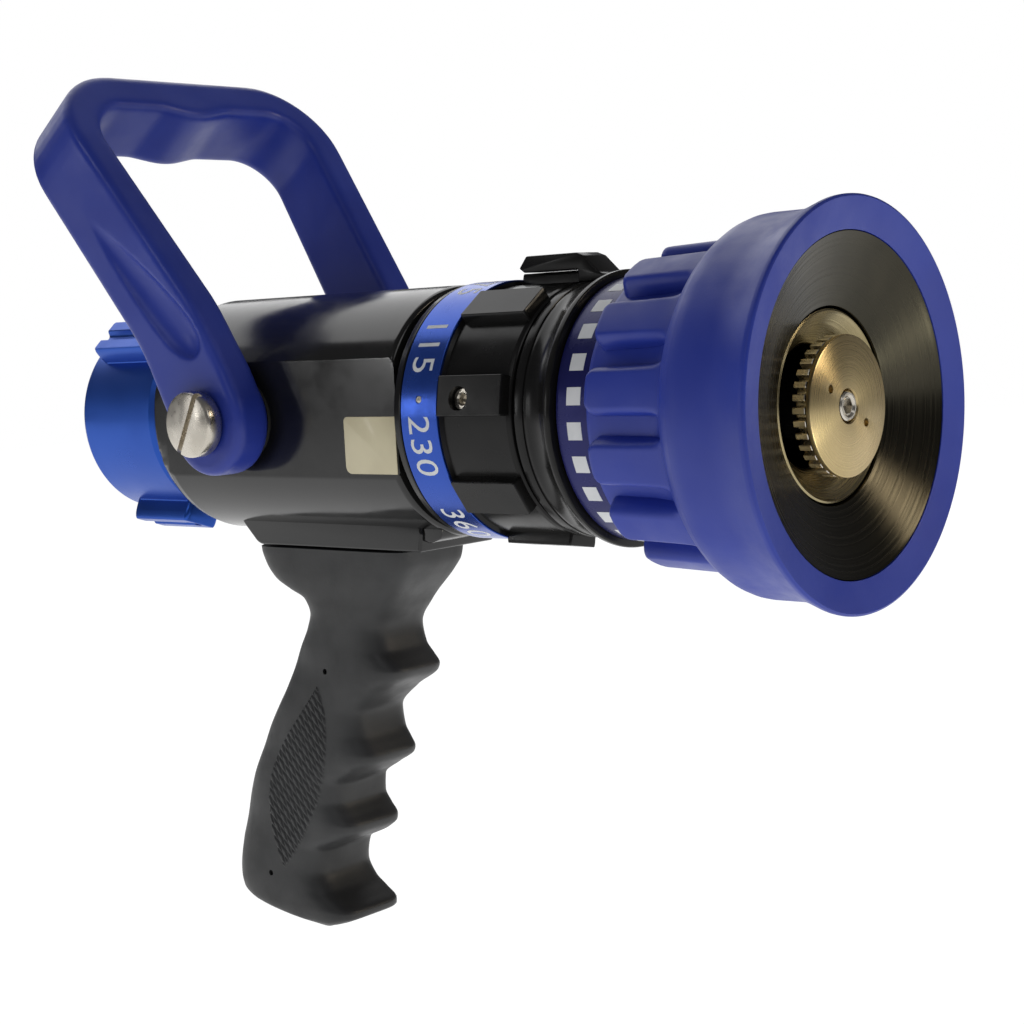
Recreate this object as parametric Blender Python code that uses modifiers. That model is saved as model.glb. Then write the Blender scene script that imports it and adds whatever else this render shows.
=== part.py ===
"""Hand-held fog nozzle: swivel inlet, ball shut-off with bail, flow ring, pistol grip, fog bumper.

Axes: +X runs along the waterway towards the outlet, +Z is up, Y is across.
The pieces are dimensioned from the shut-off pivot, and the whole nozzle is then set down with
its origin at the centre of the hose inlet.  Lengths are in millimetres here and are turned into
metres when a mesh is made.
"""
import math

import bmesh
import bpy
from mathutils import Matrix, Vector

MM = 0.001
GAP = 0.3                   # clearance between neighbouring pieces

# Swivel inlet, 1.5 in hose thread
COUPLING_REAR = -81.3
COUPLING_FRONT = -43.4
COUPLING_R = 32.0
COUPLING_EDGE_R = 31.2
THREAD_R = 25.2
THREAD_DEPTH = 21.0
COUPLING_LUG_R = 38.2
COUPLING_LUG_W = 15.0
COUPLING_LUG_REAR = -75.4
COUPLING_LUG_FRONT = -46.5
COUPLING_LUG_ANGLES = (-72.0, 48.0, 168.0)
TAIL_R = 21.8
BALL_RACE_X = -51.0
RACE_BALL_R = 1.9
RACE_BALLS = 10

# Valve body
BODY_R = 37.6
BODY_REAR = -42.6
BODY_FRONT = 68.0
BODY_FLAT_Y = 33.2
WATERWAY_R = 17.5
BALL_R = 25.5
CAVITY_R = 27.4
SADDLE_X = (-22.0, 58.5)
SADDLE_HALF_Y = 16.4
SADDLE_Z = -41.6

# Bail (shut-off handle), leaning back at rest
BAIL_LEAN = 35.8
BAIL_PIVOT_OUT = 47.6
BAIL_PIVOT_IN = 34.7
BAIL_TOP_OUT = 57.8
BAIL_TOP_IN = 45.2
BAIL_HEIGHT = 124.8
BAIL_WINDOW = 111.0
BAIL_SWELL = 3.4
BAIL_BOSS_R = 16.4
BAIL_FRONT_V = 21.0
BAIL_REAR_V = -7.2
SCREW_HEAD_R = 10.1
SCREW_HEAD_T = 6.9
TRUNNION_R = 6.2

# Flow selector ring
RING_REAR = 68.7
RING_FRONT = 114.0
RING_R = 36.4
RING_BORE_R = 30.6
BAND_X = (74.5, 88.3)
BAND_R = 38.0
RING_LUGS = 8
RING_LUG_PHASE = 9.6
RING_LUG_R = 39.2
RING_LUG_W = 11.4
RING_LUG_X = (89.4, 113.4)

# Barrel and fixed front collar
BARREL_R = 30.2
BARREL_REAR = 22.0
BARREL_FRONT = 185.0
BARREL_BORE_R = 24.0
COLLAR_X = (114.5, 130.0)
COLLAR_RIM_R = 38.9

# Pattern sleeve, bumper and cone
SLEEVE_REAR = 120.4
SLEEVE_BAND_X = (130.5, 141.4)
SLEEVE_BAND_R = 36.9
SLEEVE_BORE_R = 30.6
SLEEVE_SEAL_X = 168.0
BUMPER_REAR = 141.4
BUMPER_FRONT = 202.4
BUMPER_RIBS = 14
BUMPER_RIB_PHASE = 9.8
BUMPER_RIB_R = 44.3
BUMPER_RIB_W = 13.6
CONE_OUTER_R = 44.7
CONE_INNER_R = 25.9
CONE_INNER_X = 193.2

# Baffle head and seat
HEAD_FACE_X = 198.0
HEAD_R = 18.5
TEETH = 22
TEETH_X = (192.6, 196.3)
SEAT_OUTER_R = 25.3
SEAT_THROAT_R = 16.2
STEM_R = 7.0

# Selector detent
DETENT_Z = 34.0
DETENT_NOTCHES = 5

# Small details
SCREW_SLOT_ANGLE = 62.0
SPANNER_ANGLE = 30.0
SPANNER_RADIUS = 9.6

# Pistol grip
GRIP_TOP = -42.2
GRIP_BOTTOM = -166.6
GRIP_BOLT_X = 20.0
GRIP_TILT = 17.0
GRIP_SIDES = 14
FINGER_CREST_Z = -81.0      # first finger crest below the guard
FINGER_PITCH = 26.6
FINGER_DEPTHS = (12.4, 10.3, 10.2, 17.0)
GRIP_FRONT_X = 33.3         # front line at the first finger
GRIP_FRONT_SLOPE = 0.405

BLUE_PLASTIC = ("blue_plastic", (0.020, 0.045, 0.420, 1.0), 0.42, 0.0)
BLUE_RUBBER = ("blue_rubber", (0.018, 0.050, 0.440, 1.0), 0.55, 0.0)
BLUE_ANODISED = ("blue_anodised", (0.020, 0.110, 0.600, 1.0), 0.28, 0.9)
NAVY_ANODISED = ("navy_anodised", (0.010, 0.014, 0.085, 1.0), 0.30, 0.8)
BLACK_ANODISED = ("black_anodised", (0.012, 0.012, 0.013, 1.0), 0.16, 0.6)
BLACK_GRIP = ("black_grip", (0.030, 0.031, 0.031, 1.0), 0.62, 0.0)
STAINLESS = ("stainless", (0.62, 0.60, 0.56, 1.0), 0.26, 1.0)
BRASS_TONE = ("warm_machined", (0.72, 0.62, 0.42, 1.0), 0.24, 1.0)
SEAL_RUBBER = ("seal_rubber", (0.020, 0.020, 0.020, 1.0), 0.75, 0.0)
WHITE_SEAT = ("white_seat_plastic", (0.80, 0.79, 0.75, 1.0), 0.45, 0.0)
LABEL_PAPER = ("cream_label", (0.74, 0.69, 0.52, 1.0), 0.55, 0.0)


# ------------------------------------------------------------------ set-up
for old in list(bpy.data.objects):
    bpy.data.objects.remove(old, do_unlink=True)

PARTS = bpy.data.collections.new("fog_nozzle")
CUTTERS = bpy.data.collections.new("cutters")
bpy.context.scene.collection.children.link(PARTS)
bpy.context.scene.collection.children.link(CUTTERS)


def material(spec):
    """Return the Principled material described by (name, colour, roughness, metallic)."""
    name, colour, rough, metal = spec
    mat = bpy.data.materials.get(name)
    if mat is None:
        mat = bpy.data.materials.new(name)
        mat.use_nodes = True
        bsdf = mat.node_tree.nodes["Principled BSDF"]
        bsdf.inputs["Base Color"].default_value = colour
        bsdf.inputs["Roughness"].default_value = rough
        bsdf.inputs["Metallic"].default_value = metal
    return mat


def add(name, mesh, look=None, smooth=True):
    """Link a mesh as a part, or as a hidden cutter when it has no look."""
    obj = bpy.data.objects.new(name, mesh)
    if look is None:
        CUTTERS.objects.link(obj)
        obj.hide_render = True
        obj.display_type = "WIRE"
    else:
        PARTS.objects.link(obj)
        mesh.materials.append(material(look))
    if smooth and len(mesh.polygons):
        mesh.polygons.foreach_set("use_smooth", [True] * len(mesh.polygons))
    return obj


def boolean(obj, tool, operation="DIFFERENCE"):
    """Cut, add or intersect a part with a tool object."""
    mod = obj.modifiers.new(operation.lower(), "BOOLEAN")
    mod.operation = operation
    mod.solver = "EXACT"
    mod.object = tool
    return mod


def bevel(obj, width, segments=2, angle=35.0):
    """Round the edges of a part that turn by more than an angle."""
    mod = obj.modifiers.new("edges", "BEVEL")
    mod.width = width * MM
    mod.segments = segments
    mod.limit_method = "ANGLE"
    mod.angle_limit = math.radians(angle)
    mod.harden_normals = False
    return mod


def point_axis(obj, axis):
    """Turn an object modelled about local Z so that it lies along a world axis."""
    turns = {"X": (0.0, math.pi / 2, 0.0), "+Y": (-math.pi / 2, 0.0, 0.0),
             "-Y": (math.pi / 2, 0.0, 0.0), "Z": (0.0, 0.0, 0.0)}
    obj.rotation_euler = turns[axis]


def turned(name, profile, look=None, steps=64, axis="X"):
    """Spin a profile of (along, radius) pairs.

    The profile runs down the outer side from the far end, then back up the bore when it is
    closed; a profile that starts and ends on the axis is left open.
    """
    mesh = bpy.data.meshes.new(name)
    verts = [(r * MM, 0.0, a * MM) for a, r in profile]
    edges = [(i, i + 1) for i in range(len(verts) - 1)]
    if profile[0][1] > 0.0:
        edges.append((len(verts) - 1, 0))
    mesh.from_pydata(verts, edges, [])
    obj = add(name, mesh, look)
    mod = obj.modifiers.new("spin", "SCREW")
    mod.axis = "Z"
    mod.angle = 2.0 * math.pi
    mod.steps = steps
    mod.render_steps = steps
    mod.use_merge_vertices = True
    mod.merge_threshold = 0.00001
    mod.use_smooth_shade = True
    point_axis(obj, axis)
    return obj


def tube(name, a0, a1, r_in, r_out, look=None, steps=64, axis="X", chamfer=0.0):
    """A plain ring between a0 and a1 with an optional chamfer on its outer edges."""
    c = chamfer
    outer = [(a1, r_out - c), (a1 - c, r_out), (a0 + c, r_out), (a0, r_out - c)]
    if c == 0.0:
        outer = [(a1, r_out), (a0, r_out)]
    return turned(name, outer + [(a0, r_in), (a1, r_in)], look, steps, axis)


def rod(name, a0, a1, radius, look=None, steps=32, axis="X", chamfer=0.0):
    """A solid pin between a0 and a1."""
    c = chamfer
    side = [(a1, radius - c), (a1 - c, radius), (a0 + c, radius), (a0, radius - c)]
    if c == 0.0:
        side = [(a1, radius), (a0, radius)]
    return turned(name, [(a1, 0.0)] + side + [(a0, 0.0)], look, steps, axis)


def block(name, centre, size, look=None, smooth=False):
    """A box primitive with its size baked into the mesh."""
    mesh = bpy.data.meshes.new(name)
    bm = bmesh.new()
    bmesh.ops.create_cube(bm, size=1.0)
    bmesh.ops.scale(bm, vec=Vector(size) * MM, verts=bm.verts)
    bm.to_mesh(mesh)
    bm.free()
    obj = add(name, mesh, look, smooth)
    obj.location = Vector(centre) * MM
    return obj


def fillet(points, radii, steps=5):
    """Round the corners of a polygon given as (x, y) points."""
    out = []
    count = len(points)
    for i, (x, y) in enumerate(points):
        r = radii[i] if isinstance(radii, (list, tuple)) else radii
        here = Vector((x, y))
        before = Vector(points[i - 1]) - here
        after = Vector(points[(i + 1) % count]) - here
        if r <= 0.0:
            out.append((x, y))
            continue
        half = before.angle(after) / 2.0
        reach = min(r / math.tan(half), before.length * 0.49, after.length * 0.49)
        r = reach * math.tan(half)
        mid = (before.normalized() + after.normalized()).normalized()
        centre = here + mid * (r / math.sin(half))
        start = here + before.normalized() * reach - centre
        end = here + after.normalized() * reach - centre
        sweep = start.angle_signed(end)
        for k in range(steps + 1):
            turn = Matrix.Rotation(-sweep * k / steps, 2)
            out.append(tuple(centre + turn @ start))
    return out


def plate(name, outlines, thickness, look=None, smooth=False):
    """Extrude closed 2D outlines by a thickness centred on local Z."""
    curve = bpy.data.curves.new(name + "_outline", "CURVE")
    curve.dimensions = "2D"
    curve.fill_mode = "BOTH"
    curve.extrude = thickness * MM / 2.0
    for outline in outlines:
        spline = curve.splines.new("POLY")
        spline.points.add(len(outline) - 1)
        for point, (x, y) in zip(spline.points, outline):
            point.co = (x * MM, y * MM, 0.0, 1.0)
        spline.use_cyclic_u = True
    guide = bpy.data.objects.new(name + "_outline", curve)
    PARTS.objects.link(guide)
    depsgraph = bpy.context.evaluated_depsgraph_get()
    mesh = bpy.data.meshes.new_from_object(guide.evaluated_get(depsgraph))
    bpy.data.objects.remove(guide, do_unlink=True)
    mesh.materials.clear()
    bm = bmesh.new()
    bm.from_mesh(mesh)
    bmesh.ops.remove_doubles(bm, verts=bm.verts, dist=1e-7)
    bmesh.ops.recalc_face_normals(bm, faces=bm.faces)
    bm.to_mesh(mesh)
    bm.free()
    mesh.name = name
    return add(name, mesh, look, smooth)


def around_x(angle):
    """Rotation about X that carries the near side (-Y) to the given angle towards +Z."""
    return Matrix.Rotation(-math.radians(angle), 4, "X")


def joined(name, meshes_and_places, look=None, smooth=False):
    """Merge several placed bmesh builders into one mesh."""
    bm = bmesh.new()
    for build, place in meshes_and_places:
        piece = bmesh.new()
        build(piece)
        piece.transform(place)
        temp = bpy.data.meshes.new("temp")
        piece.to_mesh(temp)
        piece.free()
        bm.from_mesh(temp)
        bpy.data.meshes.remove(temp)
    mesh = bpy.data.meshes.new(name)
    bm.to_mesh(mesh)
    bm.free()
    return add(name, mesh, look, smooth)


def rounded_pad(x0, x1, width, r0, r1, edge, segments):
    """Builder for a raised pad on the near side (-Y) of a ring, running along X."""
    def build(bm):
        bmesh.ops.create_cube(bm, size=1.0)
        size = Vector((x1 - x0, r1 - r0, width)) * MM
        bmesh.ops.scale(bm, vec=size, verts=bm.verts)
        shift = Vector(((x0 + x1) / 2, -(r0 + r1) / 2, 0.0)) * MM
        bmesh.ops.translate(bm, vec=shift, verts=bm.verts)
        outer = [e for e in bm.edges if all(v.co.y < -(r0 + r1) / 2 * MM for v in e.verts)]
        ends = [e for e in bm.edges if e not in outer
                and abs(e.verts[0].co.y - e.verts[1].co.y) > 1e-6]
        bmesh.ops.bevel(bm, geom=outer + ends, offset=edge * MM, segments=segments,
                        profile=0.5, affect="EDGES")
    return build


# ------------------------------------------------------------------ swivel inlet
def build_inlet():
    bottom = COUPLING_REAR + THREAD_DEPTH
    coupling = turned("coupling", [
        (COUPLING_FRONT, 30.0), (COUPLING_FRONT - 1.6, COUPLING_R),
        (COUPLING_REAR + 2.0, COUPLING_R), (COUPLING_REAR, COUPLING_EDGE_R - 0.6),
        (COUPLING_REAR, THREAD_R + 1.0), (COUPLING_REAR + 1.0, THREAD_R),
        (bottom, THREAD_R), (bottom, TAIL_R + 2.4),
        (BALL_RACE_X - 2.4, TAIL_R + 2.4), (BALL_RACE_X - 2.4, TAIL_R + 3.8),
        (BALL_RACE_X + 2.4, TAIL_R + 3.8), (BALL_RACE_X + 2.4, TAIL_R + 2.4),
        (COUPLING_FRONT, TAIL_R + 2.4)], BLUE_ANODISED, 30)
    pads = []
    for angle in COUPLING_LUG_ANGLES:
        pad = rounded_pad(COUPLING_LUG_REAR, COUPLING_LUG_FRONT, COUPLING_LUG_W,
                          COUPLING_R - 3.0, COUPLING_LUG_R, 2.0, 1)
        pads.append((pad, around_x(angle)))
    boolean(coupling, joined("coupling_lugs_tool", pads), "UNION")
    grooves = []
    for angle in COUPLING_LUG_ANGLES:
        def groove(bm):
            bmesh.ops.create_cone(bm, cap_ends=True, segments=8, radius1=1.7 * MM,
                                  radius2=1.7 * MM, depth=60.0 * MM)
            bm.transform(Matrix.Rotation(math.pi / 2, 4, "Y"))
            shift = Vector((COUPLING_LUG_FRONT - 38.0, -COUPLING_LUG_R - 0.4, 0.0)) * MM
            bmesh.ops.translate(bm, vec=shift, verts=bm.verts)
        grooves.append((groove, around_x(angle)))
    boolean(coupling, joined("coupling_lug_grooves_tool", grooves))
    plug_angle = COUPLING_LUG_ANGLES[0]
    port = rod("race_port_tool", 20.0, 45.0, 2.7, None, 20, "-Y")
    port.matrix_world = (around_x(plug_angle) @ Matrix.Translation((BALL_RACE_X * MM, 0, 0))
                         @ Matrix.Rotation(math.pi / 2, 4, "X"))
    boolean(coupling, port)
    plug = rod("ball_race_plug", TAIL_R + 4.2, COUPLING_LUG_R - 1.2, 2.4, STAINLESS, 20, "-Y",
               0.4)
    plug.matrix_world = port.matrix_world.copy()

    tube("coupling_gasket", bottom - 4.2, bottom - 0.4, WATERWAY_R + 2.0, THREAD_R - 0.5,
         SEAL_RUBBER, 24, "X")

    ring = tube("swivel_ball_ring", BALL_RACE_X - 0.8, BALL_RACE_X + 0.8, TAIL_R + 0.7,
                TAIL_R + 1.9, STAINLESS, 24)
    balls = []
    for i in range(RACE_BALLS):
        def ball(bm):
            bmesh.ops.create_icosphere(bm, subdivisions=1, radius=RACE_BALL_R * MM)
            shift = Vector((BALL_RACE_X, -(TAIL_R + 1.3), 0.0)) * MM
            bmesh.ops.translate(bm, vec=shift, verts=bm.verts)
        balls.append((ball, around_x(i * 360.0 / RACE_BALLS + 3.1)))
    boolean(ring, joined("race_balls_tool", balls), "UNION")


# ------------------------------------------------------------------ valve body
def build_body():
    race_floor = TAIL_R - 0.9
    body = turned("valve_body", [
        (BODY_FRONT, 31.4), (BODY_FRONT, BODY_R - 1.6), (BODY_FRONT - 1.6, BODY_R),
        (-34.0, BODY_R), (-38.6, BODY_R - 1.6), (-41.6, BODY_R - 5.0),
        (BODY_REAR, BODY_R - 8.6), (BODY_REAR, TAIL_R),
        (BALL_RACE_X + 2.0, TAIL_R), (BALL_RACE_X + 1.5, race_floor),
        (BALL_RACE_X - 1.5, race_floor), (BALL_RACE_X - 2.0, TAIL_R),
        (-54.4, TAIL_R), (-54.4, TAIL_R - 1.5), (-57.0, TAIL_R - 1.5), (-57.0, TAIL_R),
        (-59.9, TAIL_R), (-59.9, WATERWAY_R),
        (-20.0, WATERWAY_R), (-20.0, CAVITY_R), (48.0, CAVITY_R), (48.0, 30.6),
        (BODY_FRONT, 30.6)], BLACK_ANODISED, 36)
    centre_x = (SADDLE_X[0] + SADDLE_X[1]) / 2
    outline = fillet([(SADDLE_X[0], -32.0), (SADDLE_X[0] + 8.5, SADDLE_Z),
                      (SADDLE_X[1], SADDLE_Z), (SADDLE_X[1], -32.0)], [0, 4, 1.2, 0], 3)
    saddle = plate("saddle_tool", [outline], 2 * SADDLE_HALF_Y)
    saddle.rotation_euler = (math.pi / 2, 0.0, 0.0)
    bevel(saddle, 1.2, 1, 60.0)
    boolean(body, saddle, "UNION")
    for side, name in ((-1, "near"), (1, "far")):
        reach = 12.0
        flat = block("flat_%s_tool" % name, (10.0, side * (BODY_FLAT_Y + reach / 2), 0.0),
                     (130.0, reach, 60.0))
        boolean(body, flat)
    cross = rod("pivot_bore_tool", -40.0, 40.0, 8.6, None, 24, "+Y")
    boolean(body, cross)
    stud = rod("grip_thread_tool", -5.0, 8.6, 4.0, None, 20, "Z")
    stud.matrix_world = grip_bolt_place()
    boolean(body, stud)
    pocket = rod("detent_pocket_tool", BODY_FRONT - 9.0, BODY_FRONT + 4.0, 2.2, None, 20, "X")
    pocket.location = (0.0, 0.0, DETENT_Z * MM)
    boolean(body, pocket)

    label = plate("body_label", [fillet([(46.5, -16.2), (63.6, -16.2), (63.6, 0.6), (46.5, 0.6)],
                                        [2.4, 0.4, 0.4, 2.4], 4)], 0.35, LABEL_PAPER)
    label.rotation_euler = (math.pi / 2, 0.0, 0.0)
    label.location = (0.0, -(BODY_FLAT_Y + 0.03 + 0.175) * MM, 0.0)

    seat_arc = []
    for k in range(5):
        radius = 18.4 + (24.2 - 18.4) * k / 4
        seat_arc.append((math.sqrt((BALL_R + 0.35) ** 2 - radius ** 2), radius))
    front = [(21.5, 24.6), (seat_arc[-1][0], 24.6)] + seat_arc[::-1] + [(21.5, 18.4)]
    turned("front_ball_seat", front, WHITE_SEAT, 24)
    turned("rear_ball_seat", [(-seat_arc[-1][0], 24.6), (-19.7, 24.6), (-19.7, 18.4)]
           + [(-a, r) for a, r in seat_arc], WHITE_SEAT, 24)

    turned("swivel_o_ring", ring_profile(-55.7, TAIL_R + 0.25, 1.0), SEAL_RUBBER, 24)


def ring_profile(x, radius, section, sides=6):
    """Closed round section for an O-ring, listed down its outer side first."""
    points = []
    for k in range(sides):
        angle = 2.0 * math.pi * (k + 0.5) / sides
        points.append((x + section * math.cos(angle), radius + section * math.sin(angle)))
    return points


# ------------------------------------------------------------------ shut-off ball and bail
def build_shutoff():
    count = 14
    arc = []
    for k in range(count + 1):
        angle = math.pi * k / count
        arc.append((BALL_R * math.cos(angle), BALL_R * math.sin(angle)))
    arc[0] = (BALL_R, 0.0)
    arc[-1] = (-BALL_R, 0.0)
    ball = turned("shutoff_ball", arc, STAINLESS, 28, "+Y")
    bore = rod("ball_bore_tool", -30.0, 30.0, WATERWAY_R, None, 28, "X")
    boolean(ball, bore)
    slots = block("ball_drive_slots_tool", (0.0, 0.0, 0.0), (12.0, 80.0, 4.0))
    middle = block("ball_slot_keep_tool", (0.0, 0.0, 0.0), (30.0, 43.0, 20.0))
    boolean(slots, middle)
    boolean(ball, slots)

    for sign, side in ((-1, "near"), (1, "far")):
        axis = "-Y" if sign < 0 else "+Y"
        trunnion = rod("trunnion_" + side, 25.9, 44.5, TRUNNION_R, STAINLESS, 24, axis, 0.4)
        tang = block("tang_%s_tool" % side, (0.0, sign * 25.0, 0.0), (10.4, 6.2, 3.2))
        boolean(trunnion, tang, "UNION")
        tap = rod("trunnion_tap_%s_tool" % side, 31.0, 60.0, 3.6, None, 20, axis)
        boolean(trunnion, tap)
        turned("trunnion_o_ring_" + side, ring_profile(29.6, TRUNNION_R + 1.15, 0.85),
               SEAL_RUBBER, 16, axis)
        tube("trunnion_bush_" + side, 30.9, 33.0, TRUNNION_R + GAP, 8.3, WHITE_SEAT, 24, axis)
        tube("thrust_washer_" + side, BODY_FLAT_Y + 0.2, BAIL_PIVOT_IN - 0.2,
             TRUNNION_R + GAP, 13.0, WHITE_SEAT, 28, axis)
        screw = turned("bail_screw_" + side, [
            (BAIL_PIVOT_OUT + GAP + SCREW_HEAD_T, 0.0),
            (BAIL_PIVOT_OUT + GAP + SCREW_HEAD_T, SCREW_HEAD_R - 1.0),
            (BAIL_PIVOT_OUT + GAP + SCREW_HEAD_T - 0.4, SCREW_HEAD_R - 0.3),
            (BAIL_PIVOT_OUT + GAP + SCREW_HEAD_T - 1.1, SCREW_HEAD_R),
            (BAIL_PIVOT_OUT + GAP + 1.4, SCREW_HEAD_R),
            (BAIL_PIVOT_OUT + GAP, SCREW_HEAD_R - 1.2),
            (BAIL_PIVOT_OUT + GAP, 3.2), (32.0, 3.2), (31.4, 2.6), (31.4, 0.0)],
            STAINLESS, 24, axis)
        slot = block("slot_%s_tool" % side, (0.0, sign * (BAIL_PIVOT_OUT + SCREW_HEAD_T + 2.3), 0),
                     (30.0, 8.0, 1.9))
        slot.rotation_euler = (0.0, math.radians(-SCREW_SLOT_ANGLE), 0.0)
        boolean(screw, slot)

    build_bail()


def bail_front_outline():
    """Outline of the bail seen square on: x is across, y runs up the arms."""
    slope = (BAIL_TOP_OUT - BAIL_PIVOT_OUT) / 100.0
    slope_in = (BAIL_TOP_IN - BAIL_PIVOT_IN) / 95.0
    low = -BAIL_BOSS_R - 1.0
    outer = [(-BAIL_PIVOT_OUT, low), (-BAIL_PIVOT_OUT, 8.0),
             (-BAIL_PIVOT_OUT - slope * 118.0, BAIL_HEIGHT)]
    inner = [(-BAIL_PIVOT_IN - slope_in * 104.0, BAIL_WINDOW), (-BAIL_PIVOT_IN, 8.0),
             (-BAIL_PIVOT_IN, low)]
    mirrored = [(-x, y) for x, y in reversed(outer)]
    inner_mirrored = [(-x, y) for x, y in reversed(inner)]
    swell = [(14.0, BAIL_WINDOW), (0.0, BAIL_WINDOW - BAIL_SWELL), (-14.0, BAIL_WINDOW)]
    points = outer + mirrored + inner_mirrored + swell + inner
    radii = [0, 30, 27, 27, 30, 0, 0, 24, 17, 16, 26, 16, 17, 24, 0]
    return fillet(points, radii, 4)


def bail_side_outline():
    """Outline of the bail seen from the side: x is fore and aft, y runs up the arms."""
    points = []
    for k in range(13):
        angle = math.radians(180.0 + 15.0 * k)
        points.append((BAIL_BOSS_R * math.cos(angle), BAIL_BOSS_R * math.sin(angle)))
    top = BAIL_HEIGHT + 3.0
    side = fillet([points[-1], (BAIL_FRONT_V, 30.0), (BAIL_FRONT_V - 1.4, top),
                   (BAIL_REAR_V + 1.2, top), (BAIL_REAR_V, 34.0), points[0]],
                  [0, 60, 0, 0, 60, 0], 4)
    return points[:-1] + side[:-1]


def build_bail():
    bail = plate("bail", [bail_front_outline()], 60.0, BLUE_PLASTIC)
    side = plate("bail_side_tool", [bail_side_outline()], 140.0)
    stand = Matrix.Rotation(math.pi / 2, 4, "X")
    lean = Matrix.Rotation(-math.radians(BAIL_LEAN), 4, "Y")
    bail.matrix_world = lean @ Matrix.Rotation(math.pi / 2, 4, "Z") @ stand
    side.matrix_world = lean @ stand
    boolean(bail, side, "INTERSECT")
    bevel(bail, 2.2, 1, 40.0)
    hole = rod("bail_hole_tool", -70.0, 70.0, TRUNNION_R + GAP, None, 32, "+Y")
    boolean(bail, hole)
    for sign, name in ((-1, "near"), (1, "far")):
        def valley(bm):
            bmesh.ops.create_uvsphere(bm, u_segments=12, v_segments=8, radius=1.0)
            bmesh.ops.scale(bm, vec=Vector((6.0, 4.2, 30.0)) * MM, verts=bm.verts)
        place = (lean @ Matrix.Translation(Vector((9.0, sign * 54.2, 54.0)) * MM)
                 @ Matrix.Rotation(math.radians(-sign * 5.8), 4, "X")
                 @ Matrix.Rotation(math.radians(-3.0), 4, "Y"))
        recess = joined("bail_valley_%s_tool" % name, [(valley, place)])
        boolean(bail, recess)


# ------------------------------------------------------------------ flow selector
def build_selector():
    ring = turned("selector_ring", [
        (RING_FRONT, RING_R - 1.4), (RING_FRONT - 1.2, RING_R - 0.2), (BAND_X[1] + 1.0, RING_R),
        (BAND_X[1] + 0.3, BAND_R), (BAND_X[1] + 0.3, BAND_R - 1.2),
        (BAND_X[0] - 0.3, BAND_R - 1.2), (BAND_X[0] - 0.3, BAND_R),
        (RING_REAR + 2.6, BAND_R - 0.4), (RING_REAR, BAND_R - 3.2), (RING_REAR, RING_BORE_R),
        (RING_FRONT, RING_BORE_R)], BLACK_ANODISED, 32)
    pads = []
    for i in range(RING_LUGS):
        pad = rounded_pad(RING_LUG_X[0], RING_LUG_X[1], RING_LUG_W, 33.0, RING_LUG_R, 0.9, 1)
        pads.append((pad, around_x(RING_LUG_PHASE + i * 360.0 / RING_LUGS)))
    boolean(ring, joined("selector_lugs_tool", pads), "UNION")
    pocket = rod("lug_screw_port_tool", 33.5, 45.0, 3.4, None, 24, "-Y")
    pocket.matrix_world = (around_x(8.4) @ Matrix.Translation((97.4 * MM, 0, 0))
                           @ Matrix.Rotation(math.pi / 2, 4, "X"))
    boolean(ring, pocket)
    screw = rod("selector_lug_screw", 33.8, 37.4, 3.0, STAINLESS, 24, "-Y", 0.4)
    screw.matrix_world = pocket.matrix_world.copy()
    key = prism_tool("lug_screw_key_tool", 1.5, 35.8, 40.0)
    key.matrix_world = pocket.matrix_world.copy()
    boolean(screw, key)
    notches = []
    for i in range(DETENT_NOTCHES):
        def notch(bm):
            bmesh.ops.create_uvsphere(bm, u_segments=8, v_segments=6, radius=2.3 * MM)
            shift = Vector((RING_REAR - 1.0, -DETENT_Z, 0.0)) * MM
            bmesh.ops.translate(bm, vec=shift, verts=bm.verts)
        notches.append((notch, around_x(90.0 + 90.0 - i * 30.0)))
    boolean(ring, joined("detent_notches_tool", notches))

    band = tube("selector_band", BAND_X[0], BAND_X[1], BAND_R - 0.9, BAND_R, BLUE_ANODISED, 32)
    port = rod("band_screw_port_tool", 36.0, 45.0, 1.15, None, 16, "-Y")
    port.matrix_world = (around_x(8.4) @ Matrix.Translation((81.4 * MM, 0, 0))
                         @ Matrix.Rotation(math.pi / 2, 4, "X"))
    boolean(band, port)
    pin = rod("band_screw", 37.15, 37.95, 0.85, STAINLESS, 16, "-Y", 0.15)
    pin.matrix_world = port.matrix_world.copy()


def prism_tool(name, radius, z0, z1):
    """Hexagonal key recess along local Z."""
    mesh = bpy.data.meshes.new(name)
    bm = bmesh.new()
    bmesh.ops.create_cone(bm, cap_ends=True, segments=6, radius1=radius * MM,
                          radius2=radius * MM, depth=(z1 - z0) * MM)
    bmesh.ops.translate(bm, vec=Vector((0.0, 0.0, (z0 + z1) / 2 * MM)), verts=bm.verts)
    bm.to_mesh(mesh)
    bm.free()
    return add(name, mesh, None, False)


def build_detent():
    ball = bpy.data.meshes.new("detent_ball")
    bm = bmesh.new()
    bmesh.ops.create_uvsphere(bm, u_segments=16, v_segments=10, radius=1.75 * MM)
    bm.to_mesh(ball)
    bm.free()
    obj = add("detent_ball", ball, STAINLESS)
    obj.location = (Vector((BODY_FRONT - 1.5, 0.0, DETENT_Z)) * MM)
    path = bpy.data.curves.new("detent_spring", "CURVE")
    path.dimensions = "3D"
    path.bevel_depth = 0.28 * MM
    path.bevel_resolution = 0
    path.use_fill_caps = True
    spline = path.splines.new("POLY")
    turns = 4
    per_turn = 8
    spline.points.add(turns * per_turn)
    for k, point in enumerate(spline.points):
        angle = 2.0 * math.pi * k / per_turn
        x = BODY_FRONT - 8.5 + 4.6 * k / (turns * per_turn)
        point.co = (x * MM, 1.45 * math.cos(angle) * MM,
                    (DETENT_Z + 1.45 * math.sin(angle)) * MM, 1.0)
    spring = bpy.data.objects.new("detent_spring", path)
    path.materials.append(material(STAINLESS))
    PARTS.objects.link(spring)


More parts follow.
